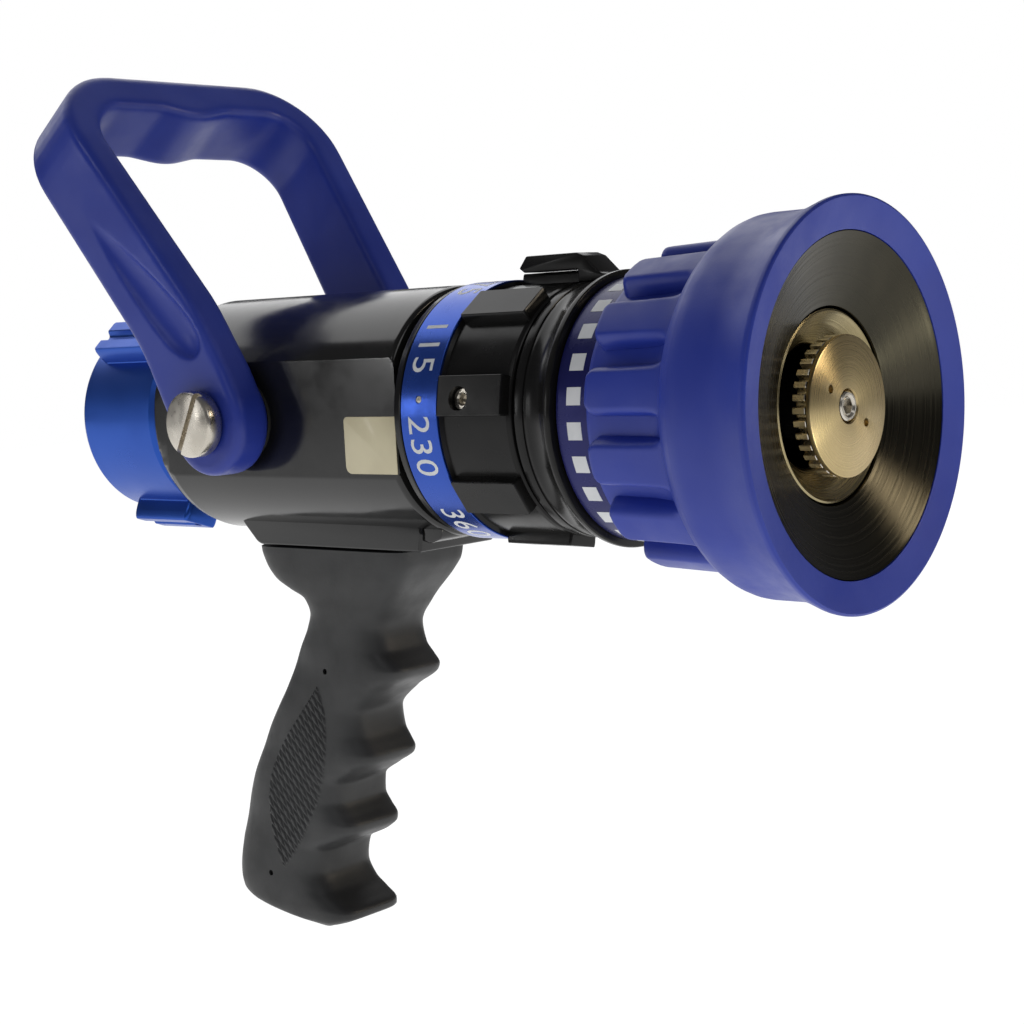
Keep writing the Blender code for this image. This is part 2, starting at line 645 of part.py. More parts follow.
# ------------------------------------------------------------------ barrel, collar, seat, stem
def build_outlet():
    barrel = turned("barrel", [
        (BARREL_FRONT, 29.2), (BARREL_FRONT - 1.0, BARREL_R), (48.4, BARREL_R),
        (48.4, CAVITY_R - 0.3), (BARREL_REAR, CAVITY_R - 0.3), (BARREL_REAR, WATERWAY_R),
        (30.0, WATERWAY_R), (62.0, BARREL_BORE_R), (BARREL_FRONT - 8.0, BARREL_BORE_R),
        (BARREL_FRONT - 8.0, 26.6), (BARREL_FRONT, 26.6)], BLACK_ANODISED, 28)

    collar = turned("front_collar", [
        (COLLAR_X[1], COLLAR_RIM_R - 0.8), (COLLAR_X[1] - 0.7, COLLAR_RIM_R),
        (COLLAR_X[1] - 2.2, COLLAR_RIM_R), (COLLAR_X[1] - 4.4, COLLAR_RIM_R - 0.9),
        (COLLAR_X[1] - 7.4, COLLAR_RIM_R - 2.0), (COLLAR_X[1] - 10.6, COLLAR_RIM_R - 2.5),
        (COLLAR_X[0] + 1.2, RING_R + 0.1), (COLLAR_X[0], RING_R - 1.0),
        (COLLAR_X[0], BARREL_R + GAP), (117.3, BARREL_R + GAP), (117.3, 35.6),
        (COLLAR_X[1], 35.6)], BLACK_ANODISED, 32)
    outline = [(114.9, 36.0), (114.9, 39.7), (95.0, 39.7), (93.2, 41.0), (96.0, 44.4),
               (114.4, 44.4), (117.2, 43.4), (122.6, 38.2), (127.5, 37.2), (127.5, 36.0)]
    index = plate("index_block_tool", [outline], 10.4)
    index.rotation_euler = (math.pi / 2, 0.0, 0.0)
    bevel(index, 0.5, 1, 50.0)
    boolean(collar, index, "UNION")

    turned("seat_ring", [
        (193.0, SEAT_OUTER_R - 0.4), (192.5, SEAT_OUTER_R), (186.0, SEAT_OUTER_R),
        (186.0, 26.3), (177.6, 26.3), (177.6, 21.0), (181.4, SEAT_THROAT_R + 0.6),
        (184.8, SEAT_THROAT_R), (185.8, SEAT_THROAT_R + 0.5)], BRASS_TONE, 28)

    spider = tube("stem_guide", 124.0, 136.0, STEM_R + GAP, 11.0, BLACK_ANODISED, 28)
    outer = tube("stem_guide_rim_tool", 124.5, 135.5, 22.0, 23.6, None, 36)
    vanes = []
    for i in range(3):
        def vane(bm):
            bmesh.ops.create_cube(bm, size=1.0)
            bmesh.ops.scale(bm, vec=Vector((10.4, 12.6, 2.4)) * MM, verts=bm.verts)
            bmesh.ops.translate(bm, vec=Vector((130.0, -16.6, 0.0)) * MM, verts=bm.verts)
        vanes.append((vane, around_x(30.0 + i * 120.0)))
    boolean(spider, joined("stem_guide_vanes_tool", vanes), "UNION")
    boolean(spider, outer, "UNION")

    groove = tube("o_ring_groove_tool", SLEEVE_SEAL_X - 1.2, SLEEVE_SEAL_X + 1.2, 28.8, 34.0,
                  None, 28)
    boolean(barrel, groove)
    turned("sleeve_o_ring_front", ring_profile(SLEEVE_SEAL_X, 29.66, 0.66), SEAL_RUBBER, 28)

    stem = turned("stem", [
        (192.2, 0.0), (192.2, 5.0), (190.0, 5.0), (190.0, STEM_R + 1.6), (182.0, STEM_R + 1.6),
        (172.0, STEM_R), (116.0, STEM_R), (110.0, 3.0), (109.0, 0.0)], BLACK_ANODISED, 24)
    tap = rod("stem_tap_tool", 182.0, 200.0, 2.7, None, 20, "X")
    boolean(stem, tap)

    head = turned("baffle_head", [
        (HEAD_FACE_X, 4.6), (HEAD_FACE_X, HEAD_R - 0.5), (HEAD_FACE_X - 0.5, HEAD_R),
        (HEAD_FACE_X - 1.3, HEAD_R), (HEAD_FACE_X - 1.3, 12.2), (192.4, 12.2), (192.4, 12.9),
        (190.4, 12.9), (190.4, 5.4), (192.5, 5.4), (192.5, 3.0), (HEAD_FACE_X - 3.0, 3.0),
        (HEAD_FACE_X - 3.0, 4.6)], STAINLESS, 28)
    for sign in (-1, 1):
        pin = rod("spanner_hole_%s_tool" % ("a" if sign < 0 else "b"), HEAD_FACE_X - 1.0,
                  HEAD_FACE_X + 3.0, 1.1, None, 10, "X")
        angle = math.radians(SPANNER_ANGLE)
        pin.location = (0.0, -sign * SPANNER_RADIUS * math.cos(angle) * MM,
                        -sign * SPANNER_RADIUS * math.sin(angle) * MM)
        boolean(head, pin)
    screw = turned("head_screw", [
        (HEAD_FACE_X - 0.5, 0.0), (HEAD_FACE_X - 0.5, 3.7), (HEAD_FACE_X - 0.9, 4.2),
        (HEAD_FACE_X - 2.7, 4.2), (HEAD_FACE_X - 2.7, 2.4), (184.0, 2.4), (183.4, 0.0)],
        STAINLESS, 24)
    key = prism_tool("head_screw_key_tool", 2.2, HEAD_FACE_X - 2.4, HEAD_FACE_X + 2.0)
    key.rotation_euler = (0.0, math.pi / 2, 0.0)
    boolean(screw, key)


def tooth_outline():
    """Outline of the fog teeth: tapered teeth with rounded roots."""
    points = []
    pitch = 2.0 * math.pi / TEETH
    for i in range(TEETH):
        base = i * pitch
        for part, radius in ((-0.28, 15.7), (-0.20, 17.2), (-0.20, 18.3), (0.20, 18.3),
                             (0.20, 17.2), (0.28, 15.7)):
            angle = base + part * pitch * 1.0
            points.append((radius * math.cos(angle), radius * math.sin(angle)))
    return points


def build_teeth():
    bore = []
    for k in range(32):
        angle = 2.0 * math.pi * k / 32
        bore.append((13.0 * math.cos(angle), 13.0 * math.sin(angle)))
    depth = TEETH_X[1] - TEETH_X[0]
    teeth = plate("teeth_ring", [tooth_outline(), bore], depth, STAINLESS)
    teeth.rotation_euler = (0.0, math.pi / 2, 0.0)
    teeth.location = ((TEETH_X[0] + TEETH_X[1]) / 2 * MM, 0.0, 0.0)


# ------------------------------------------------------------------ pattern sleeve and bumper
def build_pattern():
    tube("cam_guide_ring", 117.8, 120.0, 31.0, 34.8, WHITE_SEAT, 32)
    turned("pattern_sleeve", [
        (184.0, 33.0), (183.0, 34.0), (SLEEVE_BAND_X[1] + 0.4, 34.0),
        (SLEEVE_BAND_X[1], 34.4), (SLEEVE_BAND_X[1], SLEEVE_BAND_R),
        (SLEEVE_BAND_X[0] + 0.5, SLEEVE_BAND_R), (SLEEVE_BAND_X[0], SLEEVE_BAND_R - 0.5),
        (SLEEVE_BAND_X[0], 35.2), (SLEEVE_REAR, 35.2), (SLEEVE_REAR, SLEEVE_BORE_R),
        (184.0, SLEEVE_BORE_R)], NAVY_ANODISED, 32)
    turned("cone_liner", [
        (200.2, CONE_OUTER_R), (196.4, CONE_OUTER_R), (190.0, 36.0), (190.0, 33.4),
        (184.4, 33.4), (184.4, 31.0), (191.0, 31.0), (191.6, CONE_INNER_R),
        (CONE_INNER_X, CONE_INNER_R)], BLACK_ANODISED, 32)
    bumper = turned("bumper", [
        (200.4, CONE_OUTER_R + GAP), (201.9, 52.2), (BUMPER_FRONT, 53.4), (202.1, 54.0),
        (200.6, 53.9), (195.6, 52.0), (190.0, 50.9), (179.0, 50.9), (174.6, 49.4),
        (170.0, 45.8), (167.6, 40.6), (BUMPER_REAR + 0.3, 38.4), (BUMPER_REAR + 0.3, 34.4),
        (184.0, 34.4), (189.6, 36.6), (196.2, CONE_OUTER_R + GAP)],
        BLUE_RUBBER, 28)
    pads = []
    for i in range(BUMPER_RIBS):
        pad = rounded_pad(BUMPER_REAR + 3.2, 174.0, BUMPER_RIB_W, 37.0, BUMPER_RIB_R + 0.5, 2.4, 1)
        pads.append((pad, around_x(BUMPER_RIB_PHASE + i * 360.0 / BUMPER_RIBS)))
    boolean(bumper, joined("bumper_ribs_tool", pads), "UNION")


# ------------------------------------------------------------------ pistol grip
def blend(z, z0, z1, v0, v1):
    """Ease from v0 at z0 to v1 at z1, and hold outside them."""
    t = min(1.0, max(0.0, (z0 - z) / (z0 - z1)))
    t = t * t * (3.0 - 2.0 * t)
    return v0 + (v1 - v0) * t


def grip_front(z):
    """Front of the grip: a leaning line, a flare under the saddle and four finger crests."""
    x = GRIP_FRONT_X + GRIP_FRONT_SLOPE * min(0.0, z + 67.5)
    x += blend(z, GRIP_TOP, -66.0, 15.0, 0.0)
    for i, depth in enumerate(FINGER_DEPTHS):
        offset = (z - (FINGER_CREST_Z - i * FINGER_PITCH)) / (FINGER_PITCH / 2.0)
        if abs(offset) < 1.0:
            x += depth * (0.5 + 0.5 * math.cos(math.pi * offset)) ** 1.3
    return x


def grip_rear(z):
    """Rear of the grip: a flare, a waist for the web of the hand, and a swelling heel."""
    x = blend(z, -46.0, -62.0, -16.8, -0.3)
    x += blend(z, -62.0, -128.0, 0.0, -35.0) + blend(z, -112.0, -162.0, 0.0, -6.6)
    x += blend(z, -158.0, GRIP_BOTTOM, 0.0, 30.0)
    return x


def grip_half(z):
    """Half width of the grip: wide at the saddle and the heel, narrow at the waist."""
    return blend(z, GRIP_TOP, -66.0, 16.0, 13.7) + blend(z, -90.0, -160.0, 0.0, 1.4)


def build_grip():
    count = 30
    mesh = bpy.data.meshes.new("pistol_grip")
    bm = bmesh.new()
    rings = []
    for i in range(count + 1):
        z = GRIP_TOP + (GRIP_BOTTOM - GRIP_TOP) * i / count
        front = grip_front(z)
        rear = grip_rear(z)
        half = grip_half(z)
        mid = (rear + front) / 2
        reach = (front - rear) / 2
        corner = blend(z, -46.0, -64.0, 0.26, 0.5)
        ring = []
        for k in range(GRIP_SIDES):
            angle = 2.0 * math.pi * (k + 0.5) / GRIP_SIDES
            c = math.cos(angle)
            s = math.sin(angle)
            x = mid + reach * math.copysign(abs(c) ** corner, c)
            y = half * math.copysign(abs(s) ** corner, s)
            ring.append(bm.verts.new((x * MM, y * MM, z * MM)))
        rings.append(ring)
    for upper, lower in zip(rings, rings[1:]):
        for k in range(GRIP_SIDES):
            n = (k + 1) % GRIP_SIDES
            bm.faces.new((upper[k], lower[k], lower[n], upper[n]))
    bm.faces.new(rings[0])
    bm.faces.new(list(reversed(rings[-1])))
    bmesh.ops.recalc_face_normals(bm, faces=bm.faces)
    bm.to_mesh(mesh)
    bm.free()
    grip = add("pistol_grip", mesh, BLACK_GRIP)

    hole = rod("grip_bolt_hole_tool", -60.0, 10.0, 4.4, None, 20, "Z")
    hole.matrix_world = grip_bolt_place()
    access = rod("grip_access_tool", -160.0, -34.0, 6.9, None, 24, "Z")
    access.matrix_world = grip_bolt_place()
    boolean(hole, access, "UNION")
    boolean(grip, hole)

    tube("grip_washer", -36.1, -34.3, 4.4, 6.5, STAINLESS, 24, "Z").matrix_world = (
        grip_bolt_place())
    bolt = turned("grip_bolt", [
        (7.8, 0.0), (7.8, 3.0), (7.0, 3.7), (-36.4, 3.7), (-36.4, 6.1), (-43.6, 6.1),
        (-44.4, 5.4), (-44.4, 0.0)], STAINLESS, 24, "Z")
    bolt.matrix_world = grip_bolt_place()
    key = prism_tool("grip_bolt_key_tool", 3.3, -48.0, -40.0)
    key.matrix_world = grip_bolt_place()
    boolean(bolt, key)


def grip_bolt_place():
    """Place of the grip bolt: local Z runs up the bolt, zero at the saddle's underside."""
    return (Matrix.Translation(Vector((GRIP_BOLT_X, 0.0, SADDLE_Z)) * MM)
            @ Matrix.Rotation(math.radians(GRIP_TILT), 4, "Y"))


build_inlet()
build_body()
build_shutoff()
build_selector()
build_detent()
build_outlet()
build_teeth()
build_pattern()
build_grip()

for piece in list(PARTS.objects) + list(CUTTERS.objects):
    piece.location.x -= COUPLING_REAR * MM
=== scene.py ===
"""Looks of the fog nozzle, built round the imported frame.

Lengths here are millimetres from the shut-off pivot: x along the waterway towards the outlet,
y across, z up.  `phi` is an angle about the waterway, from the near side (-y) towards +z.
"""
import math

import bmesh
import bpy
import numpy as np
from mathutils import Matrix, Vector


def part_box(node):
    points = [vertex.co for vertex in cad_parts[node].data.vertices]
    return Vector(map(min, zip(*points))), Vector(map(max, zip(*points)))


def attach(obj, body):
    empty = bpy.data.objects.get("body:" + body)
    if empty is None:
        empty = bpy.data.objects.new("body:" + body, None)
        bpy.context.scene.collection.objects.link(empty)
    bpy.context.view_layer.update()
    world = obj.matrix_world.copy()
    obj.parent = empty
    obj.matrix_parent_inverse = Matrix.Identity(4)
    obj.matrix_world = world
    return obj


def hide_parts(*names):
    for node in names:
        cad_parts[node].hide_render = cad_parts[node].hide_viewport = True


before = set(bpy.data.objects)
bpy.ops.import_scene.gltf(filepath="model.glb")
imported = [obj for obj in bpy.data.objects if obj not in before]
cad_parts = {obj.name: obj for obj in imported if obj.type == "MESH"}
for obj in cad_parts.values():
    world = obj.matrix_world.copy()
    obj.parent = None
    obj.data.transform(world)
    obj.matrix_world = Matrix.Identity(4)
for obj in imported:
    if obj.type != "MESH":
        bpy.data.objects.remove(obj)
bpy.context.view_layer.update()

MM = 0.001
low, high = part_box("trunnion_near")
PIVOT = Vector(((low.x + high.x) / 2, 0.0, (low.z + high.z) / 2))
TURN = 2.0 * math.pi


# ------------------------------------------------------------------ materials
COAT_ROUGHNESS = 0.12
QUARTER_TURN = 0.25


def new_material(name, metal=0.0, coat=0.0, specular=0.5):
    """A metal or a dielectric; the calls that follow link its colour and roughness."""
    mat = bpy.data.materials.new(name)
    mat.use_nodes = True
    bsdf = mat.node_tree.nodes["Principled BSDF"]
    bsdf.inputs["Metallic"].default_value = metal
    bsdf.inputs["Coat Weight"].default_value = coat
    bsdf.inputs["Coat Roughness"].default_value = COAT_ROUGHNESS
    bsdf.inputs["Specular IOR Level"].default_value = specular
    return mat


def noise(mat, scale, detail=4.0, stretch=(1.0, 1.0, 1.0), rough=0.55):
    tree = mat.node_tree
    coord = tree.nodes.new("ShaderNodeTexCoord")
    mapping = tree.nodes.new("ShaderNodeMapping")
    mapping.inputs["Scale"].default_value = stretch
    node = tree.nodes.new("ShaderNodeTexNoise")
    node.inputs["Scale"].default_value = scale
    node.inputs["Detail"].default_value = detail
    node.inputs["Roughness"].default_value = rough
    tree.links.new(coord.outputs["Object"], mapping.inputs["Vector"])
    tree.links.new(mapping.outputs["Vector"], node.inputs["Vector"])
    return node.outputs["Fac"]


def ramp(mat, source, stops, low_value, high_value):
    """Map a factor between two stops onto two values."""
    node = mat.node_tree.nodes.new("ShaderNodeMapRange")
    node.interpolation_type = "SMOOTHSTEP"
    node.inputs["From Min"].default_value = stops[0]
    node.inputs["From Max"].default_value = stops[1]
    node.inputs["To Min"].default_value = low_value
    node.inputs["To Max"].default_value = high_value
    mat.node_tree.links.new(source, node.inputs["Value"])
    return node.outputs["Result"]


def vary_colour(mat, source, colours):
    node = mat.node_tree.nodes.new("ShaderNodeMix")
    node.data_type = "RGBA"
    node.inputs["A"].default_value = (*colours[0], 1.0)
    node.inputs["B"].default_value = (*colours[1], 1.0)
    mat.node_tree.links.new(source, node.inputs["Factor"])
    bsdf = mat.node_tree.nodes["Principled BSDF"]
    mat.node_tree.links.new(node.outputs["Result"], bsdf.inputs["Base Color"])


def link(mat, source, socket):
    bsdf = mat.node_tree.nodes["Principled BSDF"]
    mat.node_tree.links.new(source, bsdf.inputs[socket])


def bump(mat, source, strength, distance):
    node = mat.node_tree.nodes.new("ShaderNodeBump")
    node.inputs["Strength"].default_value = strength
    node.inputs["Distance"].default_value = distance * MM
    bsdf = mat.node_tree.nodes["Principled BSDF"]
    tree = mat.node_tree
    if bsdf.inputs["Normal"].is_linked:
        tree.links.new(bsdf.inputs["Normal"].links[0].from_socket, node.inputs["Normal"])
    tree.links.new(source, node.inputs["Height"])
    tree.links.new(node.outputs["Normal"], bsdf.inputs["Normal"])


def finish_surface(mat, rough, grain, grain_depth, colours, blotch=28.0, scratch=0.0):
    """Give a material its roughness range, fine grain, colour drift and light scratches."""
    drift = noise(mat, blotch, 3.0)
    vary_colour(mat, ramp(mat, drift, (0.35, 0.68), 0.0, 1.0), colours)
    smear = noise(mat, blotch * 3.0, 5.0, rough=0.65)
    link(mat, ramp(mat, smear, (0.3, 0.72), rough[0], rough[1]), "Roughness")
    bump(mat, noise(mat, grain, 2.0), 0.35, grain_depth)
    if scratch > 0.0:
        lines = noise(mat, 60.0, 8.0, (0.35, 6.0, 3.0), 0.8)
        bump(mat, ramp(mat, lines, (0.62, 0.72), 0.0, 1.0), 0.25, scratch)


def turned_metal(mat, pitch, depth, rough):
    """Concentric lathe lines about the waterway axis."""
    tree = mat.node_tree
    coord = tree.nodes.new("ShaderNodeTexCoord")
    split = tree.nodes.new("ShaderNodeSeparateXYZ")
    flat = tree.nodes.new("ShaderNodeCombineXYZ")
    length = tree.nodes.new("ShaderNodeVectorMath")
    length.operation = "LENGTH"
    tree.links.new(coord.outputs["Object"], split.inputs["Vector"])
    tree.links.new(split.outputs["Y"], flat.inputs["Y"])
    tree.links.new(split.outputs["Z"], flat.inputs["Z"])
    tree.links.new(flat.outputs["Vector"], length.inputs[0])
    rings = tree.nodes.new("ShaderNodeTexNoise")
    rings.noise_dimensions = "1D"
    rings.inputs["Scale"].default_value = 1000.0 / pitch
    rings.inputs["Detail"].default_value = 3.0
    tree.links.new(length.outputs["Value"], rings.inputs["W"])
    link(mat, ramp(mat, rings.outputs["Fac"], (0.3, 0.7), rough[0], rough[1]), "Roughness")
    bump(mat, rings.outputs["Fac"], 0.5, depth)


def brushed_round(mat, amount):
    """Stretch the highlights of a lathe-turned face into radial streaks."""
    bsdf = mat.node_tree.nodes["Principled BSDF"]
    bsdf.inputs["Anisotropic"].default_value = amount
    bsdf.inputs["Anisotropic Rotation"].default_value = QUARTER_TURN
    tangent = mat.node_tree.nodes.new("ShaderNodeTangent")
    tangent.direction_type = "RADIAL"
    tangent.axis = "X"
    link(mat, tangent.outputs["Tangent"], "Tangent")


BLUE_PLASTIC = new_material("blue_plastic", specular=0.36)
finish_surface(BLUE_PLASTIC, (0.30, 0.46), 1900.0, 0.03,
               ((0.016, 0.033, 0.27), (0.024, 0.046, 0.32)), 22.0, 0.03)

BLUE_RUBBER = new_material("blue_rubber", specular=0.42)
finish_surface(BLUE_RUBBER, (0.36, 0.54), 1500.0, 0.05,
               ((0.013, 0.031, 0.29), (0.019, 0.042, 0.34)), 18.0, 0.03)

BLUE_ANODISED = new_material("blue_anodised", metal=0.75)
finish_surface(BLUE_ANODISED, (0.27, 0.40), 2600.0, 0.015,
               ((0.016, 0.070, 0.38), (0.022, 0.092, 0.46)), 14.0, 0.01)

BAND_BLUE = new_material("band_blue", metal=0.72)
finish_surface(BAND_BLUE, (0.18, 0.30), 2600.0, 0.010,
               ((0.022, 0.068, 0.38), (0.028, 0.088, 0.45)), 20.0, 0.01)

NAVY = new_material("navy_anodised", metal=0.3, specular=0.3)
finish_surface(NAVY, (0.2, 0.32), 2400.0, 0.01,
               ((0.010, 0.012, 0.085), (0.016, 0.018, 0.12)), 20.0)

BODY_BLACK = new_material("body_black")
finish_surface(BODY_BLACK, (0.11, 0.20), 2100.0, 0.008,
               ((0.005, 0.005, 0.005), (0.010, 0.0098, 0.0092)), 20.0, 0.01)

RING_BLACK = new_material("ring_black", specular=0.2)
finish_surface(RING_BLACK, (0.17, 0.28), 1900.0, 0.015,
               ((0.006, 0.006, 0.006), (0.012, 0.0115, 0.011)), 24.0, 0.012)

CONE_BLACK = new_material("cone_black", metal=1.0)
brushed_round(CONE_BLACK, 0.75)
vary_colour(CONE_BLACK, ramp(CONE_BLACK, noise(CONE_BLACK, 24.0), (0.3, 0.7), 0.0, 1.0),
            ((0.034, 0.032, 0.024), (0.052, 0.047, 0.034)))
turned_metal(CONE_BLACK, 0.8, 0.004, (0.18, 0.28))

GRIP_BLACK = new_material("grip_black", specular=0.45)
finish_surface(GRIP_BLACK, (0.40, 0.56), 1300.0, 0.08,
               ((0.020, 0.0205, 0.021), (0.031, 0.032, 0.033)), 26.0)

SCREW_STEEL = new_material("screw_steel", metal=1.0)
finish_surface(SCREW_STEEL, (0.2, 0.36), 2200.0, 0.02,
               ((0.52, 0.485, 0.42), (0.64, 0.60, 0.53)), 70.0, 0.02)

WARM = new_material("warm_machined", metal=1.0)
vary_colour(WARM, ramp(WARM, noise(WARM, 40.0), (0.3, 0.7), 0.0, 1.0),
            ((0.27, 0.225, 0.12), (0.37, 0.31, 0.18)))
turned_metal(WARM, 0.5, 0.012, (0.18, 0.34))

LABEL = new_material("cream_label", coat=0.15)
finish_surface(LABEL, (0.36, 0.5), 1700.0, 0.02,
               ((0.56, 0.50, 0.33), (0.64, 0.58, 0.39)), 40.0)

WHITE_INK = new_material("white_ink")
finish_surface(WHITE_INK, (0.36, 0.5), 1500.0, 0.01,
               ((0.62, 0.64, 0.65), (0.70, 0.71, 0.72)), 120.0)

SEAL = new_material("seal_rubber")
finish_surface(SEAL, (0.6, 0.8), 1500.0, 0.03, ((0.016, 0.016, 0.016), (0.024, 0.024, 0.024)))

SEAT = new_material("white_seat")
finish_surface(SEAT, (0.4, 0.55), 1500.0, 0.02, ((0.74, 0.73, 0.68), (0.8, 0.79, 0.75)))

HEAD_STEEL = new_material("head_face", metal=1.0)
brushed_round(HEAD_STEEL, 0.8)
vary_colour(HEAD_STEEL, ramp(HEAD_STEEL, noise(HEAD_STEEL, 50.0), (0.3, 0.7), 0.0, 1.0),
            ((0.46, 0.36, 0.18), (0.54, 0.42, 0.22)))
turned_metal(HEAD_STEEL, 0.3, 0.003, (0.26, 0.34))

TEETH_STEEL = new_material("teeth_steel", metal=1.0)
finish_surface(TEETH_STEEL, (0.2, 0.36), 2000.0, 0.02,
               ((0.52, 0.49, 0.43), (0.68, 0.64, 0.57)), 80.0, 0.02)


# ------------------------------------------------------------------ building helpers
def at(x, y, z):
    return PIVOT + Vector((x, y, z)) * MM


def polar(x, radius, phi):
    """Point at an angle (radians) about the waterway."""
    return (x, -radius * math.cos(phi), radius * math.sin(phi))


def piece(name, mesh, mat, body, replaces=(), angle=30.0):
    """Put a mesh, still in pivot millimetres, into the frame as a piece of a body."""
    mesh.transform(Matrix.Translation(PIVOT) @ Matrix.Scale(MM, 4))
    mesh.materials.clear()
    mesh.materials.append(mat)
    for poly in mesh.polygons:
        poly.use_smooth = True
    mesh.set_sharp_from_angle(angle=math.radians(angle))
    obj = bpy.data.objects.new(name, mesh)
    bpy.context.scene.collection.objects.link(obj)
    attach(obj, body)
    if replaces:
        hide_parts(*replaces)


def grid_mesh(name, rows, closed_rows=True, closed_cols=False, cap=False):
    """Quads over a table of points: each row is a loop of points."""
    rows = [np.asarray(row, float) for row in rows]
    count = len(rows[0])
    verts = np.concatenate(rows)
    faces = []
    last = len(rows) if closed_cols else len(rows) - 1
    for i in range(last):
        j = (i + 1) % len(rows)
        for k in range(count if closed_rows else count - 1):
            n = (k + 1) % count
            faces.append((i * count + k, i * count + n, j * count + n, j * count + k))
    if cap:
        faces.append(tuple(range(count)))
        faces.append(tuple((len(rows) - 1) * count + k for k in reversed(range(count))))
    mesh = bpy.data.meshes.new(name)
    mesh.from_pydata(verts.tolist(), [], faces)
    return tidy(mesh)


def tidy(mesh):
    bm = bmesh.new()
    bm.from_mesh(mesh)
    bmesh.ops.remove_doubles(bm, verts=bm.verts, dist=1e-4)
    bmesh.ops.dissolve_degenerate(bm, edges=bm.edges, dist=1e-5)
    bmesh.ops.recalc_face_normals(bm, faces=bm.faces)
    bm.to_mesh(mesh)
    bm.free()
    return mesh


def rounded(points, radii, steps=6):
    """Round the corners of an open or closed list of 2D points."""
    out = []
    count = len(points)
    for i, point in enumerate(points):
        radius = radii[i] if isinstance(radii, (list, tuple)) else radii
        here = Vector(point)
        before = Vector(points[i - 1]) - here
        after = Vector(points[(i + 1) % count]) - here
        if radius <= 0.0 or before.length < 1e-6 or after.length < 1e-6:
            out.append(tuple(point))
            continue
        half = before.angle(after) / 2.0
        if half > math.radians(89.0):
            out.append(tuple(point))
            continue
        reach = min(radius / math.tan(half), before.length * 0.49, after.length * 0.49)
        radius = reach * math.tan(half)
        mid = (before.normalized() + after.normalized()).normalized()
        centre = here + mid * (radius / math.sin(half))
        start = here + before.normalized() * reach - centre
        sweep = start.angle_signed(here + after.normalized() * reach - centre)
        for k in range(steps + 1):
            out.append(tuple(centre + Matrix.Rotation(-sweep * k / steps, 2) @ start))
    return out


def lathe(name, profile, steps=180, closed=True):
    """Turn (x, radius) points about the waterway."""
    rows = []
    for x, radius in profile:
        rows.append([polar(x, radius, TURN * k / steps) for k in range(steps)])
    return grid_mesh(name, rows, True, closed)


def lathe_about(name, profile, place, steps=96):
    """Turn (height, radius) points about local Z, then place them."""
    rows = []
    for height, radius in profile:
        rows.append([(radius * math.cos(TURN * k / steps), radius * math.sin(TURN * k / steps),
                      height) for k in range(steps)])
    mesh = grid_mesh(name, rows, True, False)
    mesh.transform(place)
    return mesh


def merged(name, meshes):
    bm = bmesh.new()
    for mesh in meshes:
        bm.from_mesh(mesh)
        bpy.data.meshes.remove(mesh)
    out = bpy.data.meshes.new(name)
    bm.to_mesh(out)
    bm.free()
    return out


def solid(name, outline, thickness, edge=0.5, segments=3):
    """A bevelled plate: the outline lies in X and Z, and the thickness runs across in Y."""
    bm = bmesh.new()
    loop = [bm.verts.new((x, -thickness / 2, z)) for x, z in outline]
    face = bm.faces.new(loop)
    spun = bmesh.ops.extrude_face_region(bm, geom=[face])
    moved = [v for v in spun["geom"] if isinstance(v, bmesh.types.BMVert)]
    bmesh.ops.translate(bm, vec=(0.0, thickness, 0.0), verts=moved)
    bmesh.ops.recalc_face_normals(bm, faces=bm.faces)
    if edge > 0.0:
        sharp = [e for e in bm.edges if len(e.link_faces) == 2
                 and e.calc_face_angle(0.0) > math.radians(25.0)]
        bmesh.ops.bevel(bm, geom=sharp, offset=edge, segments=segments, profile=0.5,
                        affect="EDGES")
    mesh = bpy.data.meshes.new(name)
    bm.to_mesh(mesh)
    bm.free()
    return mesh


def combine(name, base, tools):
    """Booleans on plain meshes: tools is a list of (operation, mesh)."""
    host = bpy.data.objects.new(name + "_host", base)
    bpy.context.scene.collection.objects.link(host)
    helpers = []
    for operation, mesh in tools:
        helper = bpy.data.objects.new(name + "_helper", mesh)
        bpy.context.scene.collection.objects.link(helper)
        mod = host.modifiers.new(operation, "BOOLEAN")
        mod.operation = operation
        mod.solver = "EXACT"
        mod.object = helper
        helpers.append(helper)
    graph = bpy.context.evaluated_depsgraph_get()
    mesh = bpy.data.meshes.new_from_object(host.evaluated_get(graph))
    for helper in helpers + [host]:
        data = helper.data
        bpy.data.objects.remove(helper, do_unlink=True)
        bpy.data.meshes.remove(data)
    mesh.name = name
    return mesh


def moulded(name, mesh, voxel, smooth, factor=0.5):
    """Remesh and relax a solid so that its edges round off as a moulding's do."""
    host = bpy.data.objects.new(name + "_host", mesh)
    bpy.context.scene.collection.objects.link(host)
    mod = host.modifiers.new("voxels", "REMESH")
    mod.mode = "VOXEL"
    mod.voxel_size = voxel
    relax = host.modifiers.new("relax", "SMOOTH")
    relax.factor = factor
    relax.iterations = smooth
    graph = bpy.context.evaluated_depsgraph_get()
    out = bpy.data.meshes.new_from_object(host.evaluated_get(graph))
    bpy.data.objects.remove(host, do_unlink=True)
    bpy.data.meshes.remove(mesh)
    out.name = name
    return out


def bevelled(name, mesh, width, segments):
    """Round every edge that turns by more than 40 degrees."""
    host = bpy.data.objects.new(name + "_host", mesh)
    bpy.context.scene.collection.objects.link(host)
    mod = host.modifiers.new("edges", "BEVEL")
    mod.width = width
    mod.segments = segments
    mod.limit_method = "ANGLE"
    mod.angle_limit = math.radians(40.0)
    graph = bpy.context.evaluated_depsgraph_get()
    out = bpy.data.meshes.new_from_object(host.evaluated_get(graph))
    bpy.data.objects.remove(host, do_unlink=True)
    bpy.data.meshes.remove(mesh)
    return out


def smooth_step(value):
    value = np.clip(value, 0.0, 1.0)
    return value * value * (3.0 - 2.0 * value)


